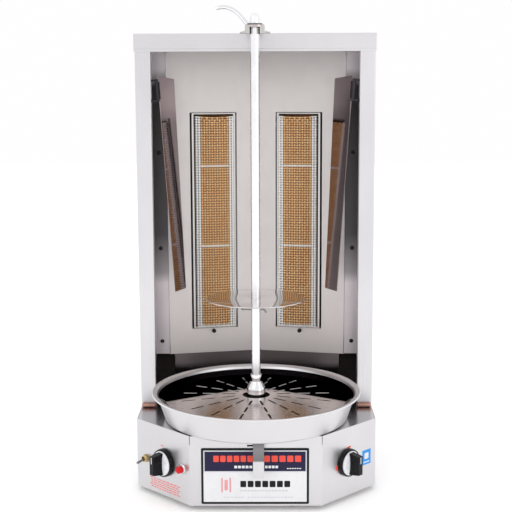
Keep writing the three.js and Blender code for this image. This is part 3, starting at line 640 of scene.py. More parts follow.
# painted shade: the gaskets are near black, the shade in the gaps behind the white side wires
cast("gasket_painted_shade", (0.04, 0.032, 0.028), 0.9)
# soot on the electrode; the same near black is the painted shade of the plates beside the lower panel
cast("soot_and_painted_shade", (0.02, 0.014, 0.012), 0.85)
glossy("black", (0.006, 0.006, 0.007), 0.2, 0.2)
glossy("red", (0.62, 0.012, 0.02), 0.14)
glossy("porcelain", (0.78, 0.74, 0.67), 0.2)
glossy("dial", (0.80, 0.81, 0.84), 0.3, 0.5)
ceramic("tile")
wire("tan_wire", (0.86, 0.44, 0.19), (1.0, 0.70, 0.38))
wire("shaded_wire", (0.10, 0.040, 0.016), (0.20, 0.09, 0.040))
wire("white_wire", (0.93, 0.90, 0.88), (1.0, 0.99, 0.98))
printed("ink_navy", (0.022, 0.020, 0.058))
printed("ink_white", (0.80, 0.80, 0.82))
printed("ink_silver", (0.62, 0.64, 0.68))
printed("ink_red", (0.86, 0.10, 0.07))
printed("ink_pink", (0.80, 0.36, 0.38))
printed("ink_black", (0.012, 0.012, 0.014))
printed("ink_blue", (0.03, 0.32, 0.80))


# Each material slot with its looks. CAD nodes that stay take the first one.
SLOTS = {
    "brushed_steel": ("across", "upright", "panel", "wall", "strip", "pan", "tongue", "dial"),
    "polished_steel": ("fore", "dark_panel_painted_shade", "wing", "disc"),
    "chrome": ("chrome", "spit"),
    "zinc_steel": ("zinc", "dark_zinc", "bright_zinc", "sleeve"),
    "brass": ("brass",),
    "copper": ("copper",),
    "screen_wire": ("tan_wire",),
    "cast_iron": ("iron", "soot_and_painted_shade"),
    "burner_ceramic": ("tile",),
    "porcelain": ("porcelain",),
    "black_plastic": ("black",),
    "red_plastic": ("red",),
    "rubber": ("rubber", "gasket_painted_shade"),
    "printed_plate": ("ink_navy", "ink_white", "ink_silver", "ink_red", "ink_pink", "ink_black", "ink_blue"),
}


def finish_piece(obj, look, *nodes, body="frame", slot=None):
    """Gives a piece its look and body, and hides the CAD nodes it stands for.

    A piece that already has its materials comes with no look; its slot argument is not used.
    """
    if look:
        obj.data.materials.clear()
        obj.data.materials.append(LOOKS[look])
    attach(obj, body)
    if nodes:
        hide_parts(*nodes)
    return obj


def screw(name, radius=3.6, height=2.2):
    """A pan-head screw facing -y, with a cross recess."""
    profile = [(0, -1), (radius, -1), (radius, 0.4, 0.3), (radius * 0.82, height * 0.75, 1.2), (0, height)]
    head = lathe(name, rounded(profile, 0.4, 3), FACING_FRONT, 28)
    arm, half = (-radius * 0.55, radius * 0.55), (-0.5, 0.5)
    depth = (-height - 1, -height * 0.45)
    return combine(head, [block("recess", arm, depth, half), block("recess", half, depth, arm)])


def screws(name, places, look, radius=3.6, height=2.2):
    for obj in copies(screw(name, radius, height), name, places):
        finish_piece(obj, look)


# ---- base ----

FOOT_PROFILE = [(0, 0), (9.5, 0, 0.8), (11, 1.2, 0.6), (11.6, 2.4, 0.4), (12.9, 3.4, 0.6), (12.9, 9.9, 0.8),
                (0, 9.9)]


def hole(kind, place):
    """The tool for a round hole through a sheet that faces -y."""
    return drum(f"{kind}_hole", HOLE[kind], -6, 6, place @ FACING_FRONT, 32)


def build_base():
    path = [(-HALF_WIDTH, SIDE_CORNER), (-FRONT_HALF, FRONT), (FRONT_HALF, FRONT), (HALF_WIDTH, SIDE_CORNER)]
    panel = folded("base_front", path, BASE_BOTTOM, DECK_TOP)
    through = (FRONT - 2, FRONT + 4)
    tools = []
    for side, sign in SIDES.items():
        tools.append(hole("stem", panel_frame(side) @ shift(sign * KNOB_X, 0, CONTROL_Z)))
        corner = sign * FRONT_HALF
        tools.append(block("corner_notch", (corner - 0.5, corner + 0.5), through,
                           (DECK_TOP - NOTCH_DEPTH, DECK_TOP + 1)))
    left = panel_frame("left")
    tools.append(hole("button", left @ shift(-BUTTON_X, 0, CONTROL_Z)))
    tools.append(hole("toggle", left @ shift(-TOGGLE["x"], 0, TOGGLE["z"])))
    tools.append(block("drain_slot", DRAIN_SLOT["x"], through, DRAIN_SLOT["z"]))
    finish_piece(soften(combine(panel, tools)), "panel", "base_front_panel")

    start = SIDE_CORNER + SHEET
    path = [(HALF_WIDTH, start), (HALF_WIDTH, REAR), (-HALF_WIDTH, REAR), (-HALF_WIDTH, start)]
    housing = folded("base_sides", path, BASE_BOTTOM, DECK_TOP)
    tools = [hole("gas", shift(GAS_X, REAR, CONTROL_Z)), hole("cord", shift(CORD["x"], REAR, CORD["z"]))]
    finish_piece(soften(combine(housing, tools)), "across", "base_housing")

    for end in ("front", "rear"):
        for side in SIDES:
            node = f"foot_{end}_{side}"
            low, high = span(node)
            centre = (low + high) / 2
            foot = lathe(f"rubber_{node}", rounded(FOOT_PROFILE, 0.5, 3), shift(centre.x, centre.y), 48)
            finish_piece(foot, "rubber", node)


def build_nameplate():
    """A framed plate with a dark band, its printing replaced by plain blocks and dashes."""
    low, high = span("nameplate")
    half = (high.x - low.x) / 2
    place = shift((low.x + high.x) / 2, high.y) @ FACING_FRONT
    margin, middle, band = NAMEPLATE["margin"], NAMEPLATE["split"], NAMEPLATE["band"]

    def layer(name, inset, heights, proud, look, radius):
        outline = rounded(rectangle((-half + inset, half - inset), heights), radius, 4, True)
        return finish_piece(soften(prism(name, outline, *proud, place), 0.06, 1), look)

    border = layer("nameplate_border", 0, (low.z, high.z), (0, 0.8), "ink_black", 2.5)
    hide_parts("nameplate")
    layer("nameplate_field", margin, (low.z + margin, middle), (0.8, 0.9), "ink_white", 0.4)
    layer("nameplate_frame", margin, (middle, high.z - margin), (0.8, 0.88), "ink_silver", 0.4)
    layer("nameplate_band", band, (middle + 2, high.z - band), (0.88, 0.96), "ink_navy", 0.3)

    def bars(name, rows, look):
        pieces = []
        for x0, x1, z0, z1 in rows:
            height = (z1 - z0) / 2
            outline = rounded(rectangle((x0, x1), (z0, z1)), min(height * 0.45, 1.6), 3, True)
            pieces.append(prism(name, outline, 0.96, 1.04, place))
        finish_piece(join(name, pieces), look)

    def row(first, last, count, z0, z1):
        """Equal blocks side by side, with gaps of a fifth of their width."""
        pitch = (last - first) / (count - 0.2)
        return [(first + i * pitch, first + (i + 0.8) * pitch, z0, z1) for i in range(count)]

    bars("nameplate_title_blocks", row(-76, -4, 6, 94, 106) + row(16, 84, 5, 94, 106), "ink_red")
    subtitle = row(-38, -5, 5, 82, 87) + row(18, 42, 4, 82, 87)
    bars("nameplate_subtitle_blocks", subtitle + row(58, 84, 6, 80.6, 82.4), "ink_white")
    bars("nameplate_maker_blocks", row(-27, 64, 7, 46, 58), "ink_black")
    bars("nameplate_small_blocks", row(-27, 60, 14, 38, 40.4), "ink_silver")
    bars("nameplate_rule_lines", row(-58, -20, 6, 26, 27.6) + row(-14, 70, 14, 26, 27.6), "ink_silver")
    bars("nameplate_mark", [(-62, -59, 36, 64), (-47, -44, 36, 64), (-56, -50, 40, 60)], "ink_pink")


def build_print():
    """Rows of plain dashes and blocks where the angled panels are printed."""
    def dashes(name, side, rows, look, proud=(0.02, 0.07)):
        pieces = []
        for u0, u1, z0, z1 in rows:
            xs = sorted((SIDES[side] * u0, SIDES[side] * u1))
            pieces.append(prism(name, rectangle(xs, (z0, z1)), *proud, panel_frame(side) @ FACING_FRONT))
        finish_piece(join(name, pieces), look)

    lengths = random.Random(5)
    rows = []
    for line in range(NOTICE["lines"]):
        z = NOTICE["first"] - line * NOTICE["pitch"]
        u = NOTICE["from"] + NOTICE["indent"] * (line % 2)
        while u < NOTICE["to"] - 4:
            length = lengths.uniform(4, 10)
            rows.append((u, min(u + length, NOTICE["to"]), z - 1.0, z + 0.7))
            u += length + NOTICE["gap"]
    dashes("notice_lines", "left", rows, "ink_red")
    dashes("left_position_mark", "left", [(75, 83, 104.5, 107.5)], "ink_pink")
    dashes("right_position_marks", "right", [(71, 81, 102, 105), (38.5, 43.5, 66, 76)], "ink_red")
    dashes("blue_label", "right", [(*LABEL["x"], *LABEL["z"])], "ink_blue")
    on_label = (0.07, 0.12)
    outline = rounded(rectangle((121.5, 133.5), (68, 80)), 2, 3, True)
    patch = prism("blue_label_patch", outline, *on_label, panel_frame("right") @ FACING_FRONT)
    finish_piece(patch, "ink_white")
    dashes("blue_label_line", "right", [(119, 136, 61, 63.2)], "ink_white", on_label)


# ---- uprights and canopy ----

def build_uprights():
    rear = REAR - SHEET - 0.3
    for side, sign in SIDES.items():
        outer = sign * HALF_WIDTH
        flange = sign * (HALF_WIDTH - FLANGE_WIDTH)
        path = [(flange, POST_FRONT + FLANGE_RETURN), (flange, POST_FRONT), (outer, POST_FRONT),
                (outer, rear), (sign * (HALF_WIDTH - REAR_FLANGE), rear)]
        if sign < 0:
            path.reverse()
        post = soften(folded(f"post_{side}", path, UPRIGHT_BOTTOM, UPRIGHT_TOP))
        finish_piece(post, "upright", f"side_post_{side}")
        build_hinge(side)
        build_foot_rod(side)


def build_foot_rod(side):
    """The copper-coloured rod across a post's foot, with a step at each end."""
    low, high = span(f"foot_rod_{side}")
    radius = (high.z - low.z) / 2
    half = (high.x - low.x) / 2
    end = [(radius, half - 2.6, 0.3), (radius * 0.85, half - 2, 0.6), (radius * 0.7, half, 0.3),
           (0, half, 0)]
    profile = [(r, -x, bend) for r, x, bend in reversed(end)] + end
    rod = lathe(f"rod_{side}", rounded(profile, 0.3, 3), shift(*((low + high) / 2)) @ ALONG_X, 40)
    finish_piece(rod, "copper", f"foot_rod_{side}")


def build_canopy():
    low, high = span("canopy")
    hood = block("hood", (low.x, high.x), (low.y, high.y), (low.z, high.z), edge=2.0)
    tools = [
        block("hollow", (low.x + SHEET, high.x - SHEET), (low.y + SHEET, high.y - SHEET),
              (low.z - 5, high.z - SHEET)),
        block("behind", (low.x - 5, high.x + 5), (low.y + SHEET, high.y + 5), (low.z - 5, CANOPY_SKIRT)),
    ]
    finish_piece(soften(combine(hood, tools)), "across", "canopy")
    hem = [(low.y + 1.0, low.z + 6.3), (low.y - 0.9, low.z + 5.3), (low.y - 0.9, low.z + 0.1),
           (low.y + 2.6, low.z + 0.1)]
    hem_piece = folded("hood_hem", hem, low.x + 2, high.x - 2, LYING, 0.8, 0.9)
    finish_piece(soften(hem_piece, 0.15), "across")


def build_hinge(side):
    """The fixed half of a wing's hinge: a pin through two lugs on a bracket."""
    place = hinge_frame(side)
    parts = [drum("pin", HINGE["pin"], -48, -6, place, 24, 0.5)]
    reach = HALF_WIDTH - FLANGE_WIDTH - HINGE["x"]
    for z in (-9.7, -48.3):
        parts.append(drum("lug", HINGE["lug"], z, z + 4, place, 32, 0.5))
        xs = sorted((SIDES[side] * 1.9, SIDES[side] * (reach + 4)))
        parts.append(block("arm", xs, (-3.4, 2.4), (z + 0.1, z + 3.9), place, 0.4))
    finish_piece(join(f"wing_hinge_{side}", parts), "dark_zinc")


# ---- chamber walls and burners ----

def build_walls():
    for side, sign in SIDES.items():
        place = wall_frame(side)
        heights = (WALL_BOTTOM, UPRIGHT_TOP)
        xs = sorted((sign * 0.3, sign * WALL_LENGTH))
        wall = block(f"chamber_wall_{side}", xs, (0, SHEET), heights, place)
        centre = sign * BURNER["centre"]
        tip = place @ shift(sign * ELECTRODE["x"], 0, ELECTRODE["z"]) @ FACING_FRONT
        tools = [
            block("opening", (centre - BURNER["half"], centre + BURNER["half"]), (-5, 5),
                  (BURNER["bottom"], BURNER["top"]), place),
            drum("electrode_hole", 2.8, -5, 5, tip, 24),
        ]
        finish_piece(soften(combine(wall, tools)), "wall", f"back_wall_{side}")
        edge = sorted((sign * (WALL_LENGTH - 1.6), sign * WALL_LENGTH))
        finish_piece(block(f"wall_lip_{side}", edge, (-3.2, 0.2), heights, place, 0.5), "upright")

        outer = HALF_WIDTH - SHEET - 0.3
        path = [(sign * STRIP_INNER, STRIP_FRONT), (sign * outer, STRIP_FRONT),
                (sign * outer, STRIP_FRONT + 22)]
        if sign < 0:
            path.reverse()
        strip = soften(folded(f"wall_strip_{side}", path, WALL_BOTTOM, UPRIGHT_TOP))
        finish_piece(strip, "strip", f"side_strip_{side}")
        places = [shift(sign * 197, STRIP_FRONT, z) for z in WALL_SCREWS]
        screws(f"wall_screw_{side}", places, "dark_zinc", 4.2)
        build_burner(side)

    low, high = span("lower_back_panel")
    panel = folded("lower_panel", [(low.y, high.z), (low.y, low.z), (high.y, low.z)], low.x, high.x, LYING)
    finish_piece(soften(panel), "dark_panel_painted_shade", "lower_back_panel")
    # painted shade: near-black plates at both ends of the lower panel stand for the shade in the corners
    # behind the walls
    for side, sign in SIDES.items():
        xs = sorted((sign * (STRIP_INNER + 0.6), sign * (HALF_WIDTH - 2)))
        shade_block = block(f"painted_shade_plate_{side}", xs, (low.y + 1.5, low.y + 2.7),
                        (low.z + 0.3, WALL_BOTTOM + 14), edge=0.3)
        finish_piece(shade_block, "soot_and_painted_shade")


def screen_profile(u):
    """How far the woven screen stands out from the wall, u from its centre."""
    t = max(0.0, 1 - abs(u) / WIRE["half"])
    return -WIRE["edge"] - (WIRE["proud"] - WIRE["edge"]) * math.sin(math.pi * t / 2)


def build_burner(side):
    place = wall_frame(side) @ shift(SIDES[side] * BURNER["centre"])
    low, high = BURNER["bottom"], BURNER["top"]
    tile_x = (-TILE["half"], TILE["half"])
    for i in range(3):
        node = f"burner_tile_{side}_{i + 1}"
        box_low, box_high = span(node)
        tile = block(f"plaque_{side}_{i + 1}", tile_x, (TILE["front"], TILE["back"]),
                     (box_low.z + 0.3, box_high.z - 0.3), place, 0.6)
        finish_piece(tile, "tile", node)
    # the gasket blocks carry the painted shade behind the side wires
    for edge, sense in (("inner", -1), ("outer", 1)):
        xs = sorted((sense * (TILE["half"] + 0.4), sense * (CASE["inner"] - 0.3)))
        gasket_painted_shade = block(f"burner_{side}_{edge}_gasket", xs, (4, 13.5), (low + 3, high - 3), place, 0.8)
        finish_piece(gasket_painted_shade, "gasket_painted_shade")
    for z in TILE_SEAMS:
        seam = block(f"burner_{side}_seam_{round(z)}", tile_x, (0.2, 1.6), (z - 1.1, z + 1.1), place, 0.4)
        finish_piece(seam, "porcelain")

    def outline(half, inset):
        return rounded(rectangle((-half, half), (low + inset, high - inset)), 1.2, 3, True)

    upright = place @ FACING_FRONT
    case = prism(f"burner_case_{side}", outline(CASE["half"], 1.2), -CASE["depth"], CASE["rim"], upright)
    inside = prism("inside", outline(CASE["inner"], 3.4), SHEET - CASE["depth"], 9, upright)
    finish_piece(soften(combine(case, [inside]), 0.25), "bright_zinc", f"burner_housing_{side}")
    finish_piece(build_screen(side, place), None, f"burner_screen_{side}", slot="screen_wire")
    profile = [(0, -20), (2.4, -20), (2.4, 0.2), (4, 0.6), (4, 6), (2.6, 8), (0, 8)]
    tip = wall_frame(side) @ shift(SIDES[side] * ELECTRODE["x"], 0, ELECTRODE["z"]) @ FACING_FRONT
    electrode = lathe(f"electrode_{side}", rounded(profile, 0.5, 3), tip, 32)
    finish_piece(electrode, "soot_and_painted_shade", f"spark_electrode_{side}", slot="porcelain")


def build_screen(side, place):
    """A plain-woven wire screen, bowed outward, with its side edges bent back into the case."""
    pitch, radius, half, edge = WIRE["pitch"], WIRE["radius"], WIRE["half"], WIRE["edge"] - 1.5
    low, high = BURNER["bottom"] + 5, BURNER["top"] - 5
    rows = int((high - low) / pitch)
    columns = int(2 * half / pitch)
    first = -columns * pitch / 2
    weave = radius * 0.85
    place = place @ shift(-SIDES[side] * WIRE["inward"])

    def sag(u):
        return 2.2 * (1 - (u / half) ** 2)

    upright_lines, cross_lines = [], []
    for i in range(columns + 1):
        u = first + i * pitch
        line = []
        for j in range(2 * rows + 1):
            y = screen_profile(u) + weave * math.cos(math.pi * (j / 2 + i))
            line.append((u, y, low + j * pitch / 2 - (sag(u) if j == 2 * rows else 0.0)))
        upright_lines.append(line)
    for j in range(rows + 1):
        z = low + j * pitch
        line = [(-half - 0.6, 3.0, z), (-half - 0.6, -edge, z)]
        for i in range(2 * columns + 1):
            u = first + i * pitch / 2
            y = screen_profile(u) - weave * math.cos(math.pi * (i / 2 + j))
            line.append((u, y, z - sag(u) * max(0.0, (j - rows + 3) / 3)))
        line += [(half + 0.6, -edge, z), (half + 0.6, 3.0, z)]
        cross_lines.append(line)
    uprights = swept("uprights", upright_lines, radius, place, 1, smooth=False)
    crosses = swept("crosses", cross_lines, radius, place, 1, smooth=False)
    screen = join(f"woven_screen_{side}", [uprights, crosses])
    for look in ("tan_wire", "white_wire", "shaded_wire"):
        screen.data.materials.append(LOOKS[look])
    back = place.inverted()
    for face in screen.data.polygons:
        local = back @ (face.center / MM)
        at_seam = min(abs(local.z - z) for z in TILE_SEAMS) < 1.6
        clean = at_seam or abs(local.x) > TILE["half"] - 1.5 or local.z < low + 4 or local.z > high + 4
        depth = local.y - screen_profile(local.x)
        sunk = depth > (0.7 if clean else -0.5) * radius
        face.material_index = 2 if sunk else int(clean)
    return screen


# ---- wings ----

def build_wing(side):
    place = wing_frame(side)
    start, drop, length = WING["start"], WING["drop"], WING["length"]
    corners = [(start, 0), (WING["top"], -drop), (WING["foot"], -length), (start, -length)]
    half = WING["half_sheet"]
    sheet = prism(f"wing_sheet_{side}", rounded(corners, 1.5, 3, True), -half, half, place @ FACING_FRONT)
    body = f"reflector_{side}"
    finish_piece(soften(sheet, 0.25), "wing", f"wing_{side}", body=body)
    bore, lug = HINGE["pin"] + 0.3, HINGE["lug"]
    knuckle = lathe("knuckle", rounded([(bore, -44), (lug, -44), (lug, -10), (bore, -10)], 0.3, 2, True),
                    place, 32, ring=True)
    tab = block("tab", (2.8, 9), (-0.9, 0.9), (-43.6, -10.4), place, 0.25)
    finish_piece(join(f"wing_knuckle_{side}", [knuckle, tab]), "dark_zinc", body=body)


# ---- pan ----

def build_pan():
    low, high = span("drip_pan")
    outside = [(24, low.z), (174, low.z, 6), (189.6, 190.2, 3), (197.6, 190.8, 1.2), (high.x, 191.6, 1.2)]
    inside = [(high.x, high.z, 1.8), (197.2, high.z, 1.0), (190.6, 193.2, 2.5), (189.2, 191.6, 1.5),
              (172.6, low.z + PAN_SHEET, 6)]
    collar = [(25.2, low.z + PAN_SHEET, 1.5), (25.2, 174, 0.5), (24, 174, 0.5)]
    pan = lathe("pan", rounded(outside + inside + collar, 0.6, 6, True), segments=160, ring=True)
    drain = drum("drain_hole", DRAIN["radius"], low.z - 2, low.z + 4, shift(DRAIN["x"], DRAIN["y"]), 32)
    finish_piece(combine(pan, [drain]), "pan", "drip_pan", body="pan")

    low, high = span("drain_strip")
    path = [(-147, low.z), (-147, 102), (-137, high.z), (-168, high.z)]
    strip = folded("drain_tongue", path, low.x, high.x, LYING, SHEET, 1.6)
    finish_piece(soften(strip, 0.3), "tongue", "drain_strip", body="pan")


def stadium(length, width, steps=6):
    """The outline of a slot with round ends, along x."""
    radius = width / 2
    points = []
    for end in (1, -1):
        for k in range(steps + 1):
            angle = math.pi * (k / steps - end / 2)
            points.append((end * (length / 2 - radius) + radius * math.cos(angle), radius * math.sin(angle)))
    return points


def build_plate():
    under = PLATE_TOP - PLATE_SHEET
    profile = [(26, under + CROWN), (172.6, under, 5), (186.4, 187.2, 0.3), (185.8, 187.8, 0.3),
               (172, PLATE_TOP, 5), (26, PLATE_TOP + CROWN)]
    plate = lathe("cutting_tray", rounded(profile, 0.3, 4, True), segments=144, ring=True)
    outline = stadium(SLOT["length"], SLOT["width"])
    tools = []
    for ring in SLOT["rings"]:
        for i in range(SLOT["count"]):
            place = turn((i + 0.5) * 2 * math.pi / SLOT["count"], "Z") @ shift(ring)
            tools.append(prism("slot", outline, PLATE_TOP - 3, PLATE_TOP + CROWN + 2, place))
    plate = soften(combine(plate, [join("slots", tools)]), 0.35, 2, 50)
    plate.data.materials.clear()
    # the slot walls take slot_edge, with its painted shade in front and painted highlight behind
    for look in ("plate", "slot_edge"):
        plate.data.materials.append(LOOKS[look])
    for face in plate.data.polygons:
        radius = math.hypot(face.center.x, face.center.y) / MM
        face.material_index = int(35 < radius < 150 and abs(face.normal.z) < 0.8)
    finish_piece(plate, None, "slotted_plate", body="cutting_plate", slot="polished_steel")


# ---- spit ----

def build_spit():
    low, high = span("skewer")
    cap, side_top = high.x, CAP_LEDGE + 6
    profile = [(0, low.z), (SPIT_RADIUS, low.z, 0.8), (SPIT_RADIUS, CAP_LEDGE, 0.3), (cap, CAP_LEDGE, 0.4),
               (cap, side_top, 3)]
    steps = 10
    for k in range(1, steps):
        angle = math.pi / 2 * k / steps
        profile.append((cap * math.cos(angle) ** 0.8, side_top + (high.z - side_top) * math.sin(angle), 0))
    profile.append((0, high.z))
    spit = lathe("spit_rod", rounded(profile, 0, 3), segments=64)
    holes = [drum("hole", 2.2, -12, 12, shift(z=z) @ ALONG_X, 20) for z in SPIT_HOLES]
    finish_piece(soften(combine(spit, holes), 0.2, 1, 55), "spit", "skewer", body="spit")
    build_disc()

    profile = [(0, 190.3), (7.3, 190.3), (7.3, 175), (17.2, 175, 0.8), (18.1, 197, 1), (17.4, 200.5, 1.2),
               (10.6, 212, 1.5), (10.6, 225.5, 0.8), (8.9, 225.5, 0.3), (8.9, 196.2), (0, 196.2)]
    socket = lathe("spit_socket", rounded(profile, 0, 4), segments=64)
    finish_piece(socket, "chrome", "drive_socket", body="drive_line")


def build_disc():
    """The meat disc with its hub, and the bent pin that carries it."""
    low, high = span("meat_disc")
    under = high.z - 2
    profile = [(DISC_BORE, low.z, 0.5), (13, low.z, 0.8), (13, under, 1.5), (high.x, under, 0.9),
               (high.x, high.z, 0.9), (DISC_BORE, high.z, 0.4)]
    disc = lathe("meat_plate", rounded(profile, 0.5, 4, True), segments=144, ring=True)
    finish_piece(disc, "disc", "meat_disc", body="disc")
    bend = [(-28, 0), (-10, 0), (5, 0), (12, 0), (16, -1), (18.4, -3.5), (19.2, -7)]
    line = [(x, 0, PIN["z"] + drop) for x, drop in bend]
    finish_piece(swept("locking_pin", [line], PIN["radius"], sides=4), "zinc", "disc_pin", body="pin")


# ---- latch ----

def build_latch():
    bottom, top, bore = FORK["bottom"], FORK["top"], FORK["bore"]
    head = drum("latch_fork", FORK["radius"], bottom, top, segments=72, edge=1.0)
    beam = block("beam", (-14, 14), (10.3, 103.4), (ROOF, 876.5), edge=1.2)
    foot = block("foot", (-29, 29), (62.9, 125.4), (ROOF, ROOF + 2.6), edge=0.8)
    fork = combine(head, [beam, foot], "UNION")
    tools = [
        drum("bore", bore, bottom - 5, top + 9, segments=48),
        block("mouth", (-bore, bore), (-25, 0), (bottom - 5, top + 9)),
    ]
    finish_piece(soften(combine(fork, tools), 0.5, 2, 50), "bright_zinc", "latch_bracket")
    upward = turn(-math.pi / 2, "X")
    places = [shift(sign * 20, y, ROOF + 2.6) @ upward for sign in (-1, 1) for y in (76, 112)]
    screws("latch_bolt", places, "bright_zinc", 4.2, 2.6)

    plate = drum("latch_plate", 17, top + 0.3, top + 3, segments=64, edge=0.5)
    tools = [
        drum("bore", 9.1, 875, 890, segments=40),
        block("mouth", (-9.1, 9.1), (0, 25), (875, 890)),
    ]
    plate = soften(combine(plate, tools), 0.3, 2, 50)
    path = [(-13.5, 882.6, 1.05), (-17, 886.5, 1.1), (-24, 896, 1.05), (-36, 907.5, 1), (-50, 913.4, 1),
            (-62, 913.6, 1), (-70, 911.4, 0.95), (-71, 910.8, 0.7)]
    horn = swept("horn", [[(x, -3, z, thickness) for x, z, thickness in path]], 3.7, sides=6)
    finish_piece(join("latch_horn", [plate, horn]), "chrome", "latch_handle", body="latch")

    arc = [math.radians(-90 + step * 7) for step in range(-6, 7)]
    outer = [(19.9 * math.cos(a), 19.9 * math.sin(a)) for a in arc]
    inner = [(18.7 * math.cos(a), 18.7 * math.sin(a)) for a in reversed(arc)]
    sleeve = soften(prism("latch_sleeve", outer + inner, 877, top + 2.6), 0.3)
    finish_piece(sleeve, "sleeve", body="latch")


# ---- controls ----

def build_knob(side):
    body = f"{side}_knob"
    place = panel_frame(side) @ shift(SIDES[side] * KNOB_X, 0, CONTROL_Z) @ FACING_FRONT
    profile = [(0, 1.5), (26.5, 1.5, 0.8), (26.5, 4.5, 0.6), (25.6, 8.6, 1.4), (24.2, 9.2, 0.5),
               (23.6, 7.4, 0.4), (0, 7.4)]
    skirt = lathe("skirt", rounded(profile, 0.3, 4), place, 80)
    shank = drum("shank", 4, -13, 3, place, 24)
    finish_piece(join(f"knob_skirt_{side}", [skirt, shank]), "black", f"knob_{side}", body=body)
    profile = [(0, 7.4), (23.4, 7.4, 0.2), (23.0, 9.0, 0.4), (16, 11.6, 3), (9, 12.4, 1), (0, 12.4)]
    finish_piece(lathe(f"knob_dial_{side}", rounded(profile, 0.3, 4), place, 80), "dial", body=body)

    width, length, top = GRIP["half_width"], GRIP["half_length"], GRIP["top"]
    outline = rounded(rectangle((-width, width), (-length, length)), 3.2, 5, True)
    grip = prism("grip", outline, GRIP["foot"], top, place)
    crest = place @ shift(z=top)
    tools = []
    for end in (-1, 1):
        flank = [(end * 5.4, 1), (end * 12, 1), (end * 12, -20), (end * 7.3, -20)]
        tools.append(prism("flank", flank, -30, 30, crest @ turn(math.pi / 2, "X")))
        tip = [(1, end * 17.5), (1, end * 26), (-24, end * 26), (-24, end * 21.2)]
        tools.append(prism("tip", tip, -12, 12, crest @ turn(-math.pi / 2, "Y")))
    grip = soften(combine(grip, tools), 1.2, 3, 40)
    grip.name = f"knob_grip_{side}"
    finish_piece(grip, "black", body=body)
    pointer = block(f"knob_pointer_{side}", (-0.9, 0.9), (4, 16.5), (top - 0.4, top + 0.2), place, 0.1)
    finish_piece(pointer, "ink_white", body=body)


def build_igniter():
    place = panel_frame("left") @ shift(-BUTTON_X, 0, CONTROL_Z) @ FACING_FRONT
    barrel = [(6.8, -20), (6.8, 3.4, 0.3), (7.8, 3.4, 0.6), (10.0, 1.4, 0.6), (10.0, 0.3, 0.2), (8.5, 0.3),
              (8.5, -44, 0.5), (0, -44), (0, -20)]
    body = lathe("igniter_barrel", rounded(barrel, 0, 4), place, 56)
    finish_piece(body, "panel", "igniter_body", slot="chrome")
    profile = [(0, -7), (6.5, -7), (6.5, 11.5, 2.2), (3.5, 13.6, 4), (0, 14)]
    cap = lathe("igniter_cap", rounded(profile, 0, 5), place, 56)
    finish_piece(cap, "red", "igniter_button", body="button")


def build_toggle():
    left = panel_frame("left")
    place = left @ shift(-TOGGLE["x"], 0, TOGGLE["z"]) @ FACING_FRONT
    bush = [(4.4, -0.5), (4.4, 8, 0.3)]
    for k in range(6):
        z = 7.6 - k * 1.2
        bush += [(6.0, z), (5.5, z - 0.6)]
    bush += [(6.0, 0.2), (6.0, -4), (0, -4), (0, -0.5)]
    bush = lathe("bush", rounded(bush, 0), place, 40)
    nut = soften(drum("toggle_nut", 8, 0.3, 3.2, place, 6), 0.5, 2)
    case = block("case", (-14, 14), (-8, 8), (-25, -3), place, 0.8)
    finish_piece(join("toggle_bush", [bush, nut]), "brass", "toggle_switch_body")
    case.name = "toggle_case"
    finish_piece(case, "black")
    pivot = left @ shift(-TOGGLE["x"], -4, TOGGLE["z"]) @ turn(TOGGLE["tilt"], "X") @ FACING_FRONT
    profile = [(0, -3.2), (3.2, -1.5, 2), (1.9, 2.4, 1), (2.6, 17, 1), (2.4, 19.6, 1.4), (0, 20)]
    lever = lathe("toggle_arm", rounded(profile, 0.3, 4), pivot, 32)
    finish_piece(lever, "zinc", "toggle_lever", body="toggle", slot="chrome")


# ---- back and hidden parts ----

def build_back():
    hoods = []
    for x in (-110, 0, 110):
        for row in range(7):
            z = 697 + row * 20
            path = [(REAR + 0.1, z + 7), (REAR + 1.2, z + 3), (REAR + 1.4, z - 5)]
            hoods.append(folded("hood", path, x - 42, x + 42, LYING, 0.6, 1.2))
    finish_piece(join("vent_louvres", hoods), "across")
    spots = [(218, z) for z in (165, 330, 500, 670, 825)] + [(210, z) for z in (30, 120)]
    places = [shift(sign * x, REAR, z) @ turn(math.pi, "Z") for sign in (-1, 1) for x, z in spots]
    screws("rear_screw", places, "zinc")
    gland = [(0, 0), (6, 0), (6, 14), (11, 14, 1), (11, 21, 1.5)]
    for k in range(4):
        z = 21.5 + k * 2.6
        rib, groove = 8.6 - 0.4 * k, 7.4 - 0.4 * k
        gland += [(rib, z, 0.3), (rib, z + 1.2, 0.3), (groove, z + 1.4, 0.3), (groove, z + 2.4, 0.3)]
    gland += [(6.6, 32, 0.6), (4, 32, 0.4), (4, 27), (0, 27)]
    place = shift(CORD["x"], REAR - 13.7, CORD["z"]) @ turn(-math.pi / 2, "X")
    finish_piece(lathe("ribbed_gland", rounded(gland, 0, 3), place, 48), "rubber", "cord_gland")


def dress_cad_nodes():
    """Softens the edges of the CAD nodes that stay, and gives them their materials."""
    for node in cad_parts.values():
        if node.hide_render:
            continue
        slot = node.material_slots[0].material.name
        node.material_slots[0].material = LOOKS[SLOTS[slot][0]]
        weld = node.modifiers.new("weld", "WELD")
        weld.merge_threshold = 0.00002
        bevel = node.modifiers.new("soften", "BEVEL")
        bevel.width = 0.35 * MM
        bevel.segments = 2
        bevel.limit_method = "ANGLE"
        bevel.angle_limit = math.radians(40)
        bevel.harden_normals = True


# ---- studio ----

LENS = 77.76
SENSOR = 36
EYE = (0.0172, -2.0614, 0.77115)
YAW, DIP, ROLL = 0.459, 8.745, -0.222
WHITE = (1, 1, 1, 1)


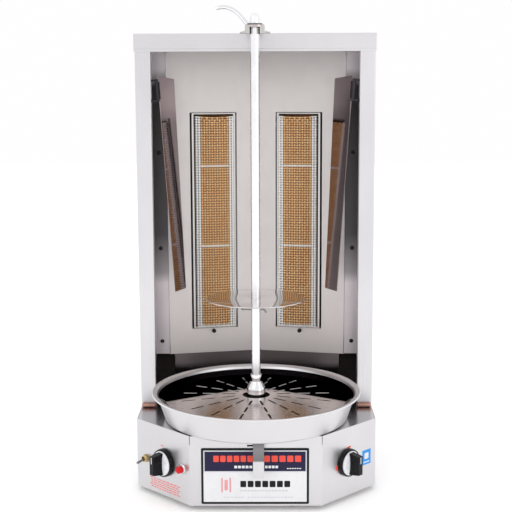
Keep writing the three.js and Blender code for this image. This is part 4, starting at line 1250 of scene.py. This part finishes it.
def build_camera():
    camera = bpy.data.cameras.new("camera")
    camera.sensor_width = SENSOR
    camera.lens = LENS
    camera.clip_start = 0.05
    camera.clip_end = 60
    obj = bpy.data.objects.new("camera", camera)
    bpy.context.scene.collection.objects.link(obj)
    obj.matrix_world = (Matrix.Translation(EYE) @ turn(math.radians(YAW), "Z")
                        @ turn(math.radians(90 - DIP), "X") @ turn(math.radians(ROLL), "Z"))
    bpy.context.scene.camera = obj


def softbox(name, place, target, size, power, colour=(1, 1, 1)):
    data = bpy.data.lights.new(name, "AREA")
    data.shape = "RECTANGLE"
    data.size, data.size_y = size
    data.energy = power
    data.color = colour
    obj = bpy.data.objects.new(name, data)
    bpy.context.scene.collection.objects.link(obj)
    obj.location = place
    obj.rotation_euler = (Vector(target) - Vector(place)).to_track_quat("-Z", "Y").to_euler()


def build_studio():
    scene = bpy.context.scene
    world = bpy.data.worlds.new("studio")
    scene.world = world
    world.use_nodes = True
    background = world.node_tree.nodes["Background"]
    background.inputs["Color"].default_value = (1.0, 0.995, 1.0, 1)
    background.inputs["Strength"].default_value = 1.0
    softbox("key_light", (-1.6, -2.2, 2.2), (0, 0, 0.4), (1.6, 1.6), 9)
    softbox("fill_light", (1.9, -1.8, 1.2), (0, 0, 0.4), (1.4, 1.8), 5)
    floor = block("floor", (-9000, 9000), (-9000, 9000), (-20, 0))
    look = Look("studio_floor", roughness=0.9)
    look.colour(look.noise((2, 2, 2), 2), [(0.3, (0.985, 0.985, 0.985)), (0.7, (1.0, 1.0, 1.0))])
    look.shader.inputs["Emission Color"].default_value = WHITE
    look.shader.inputs["Emission Strength"].default_value = 0.15
    floor.data.materials.append(look.material)
    scene.view_settings.view_transform = "Standard"
    scene.view_settings.look = "None"


build_camera()
build_studio()
build_base()
build_nameplate()
build_print()
build_uprights()
build_canopy()
build_walls()
for name in SIDES:
    build_wing(name)
build_pan()
build_plate()
build_spit()
build_latch()
for name in SIDES:
    build_knob(name)
build_igniter()
build_toggle()
build_back()
dress_cad_nodes()
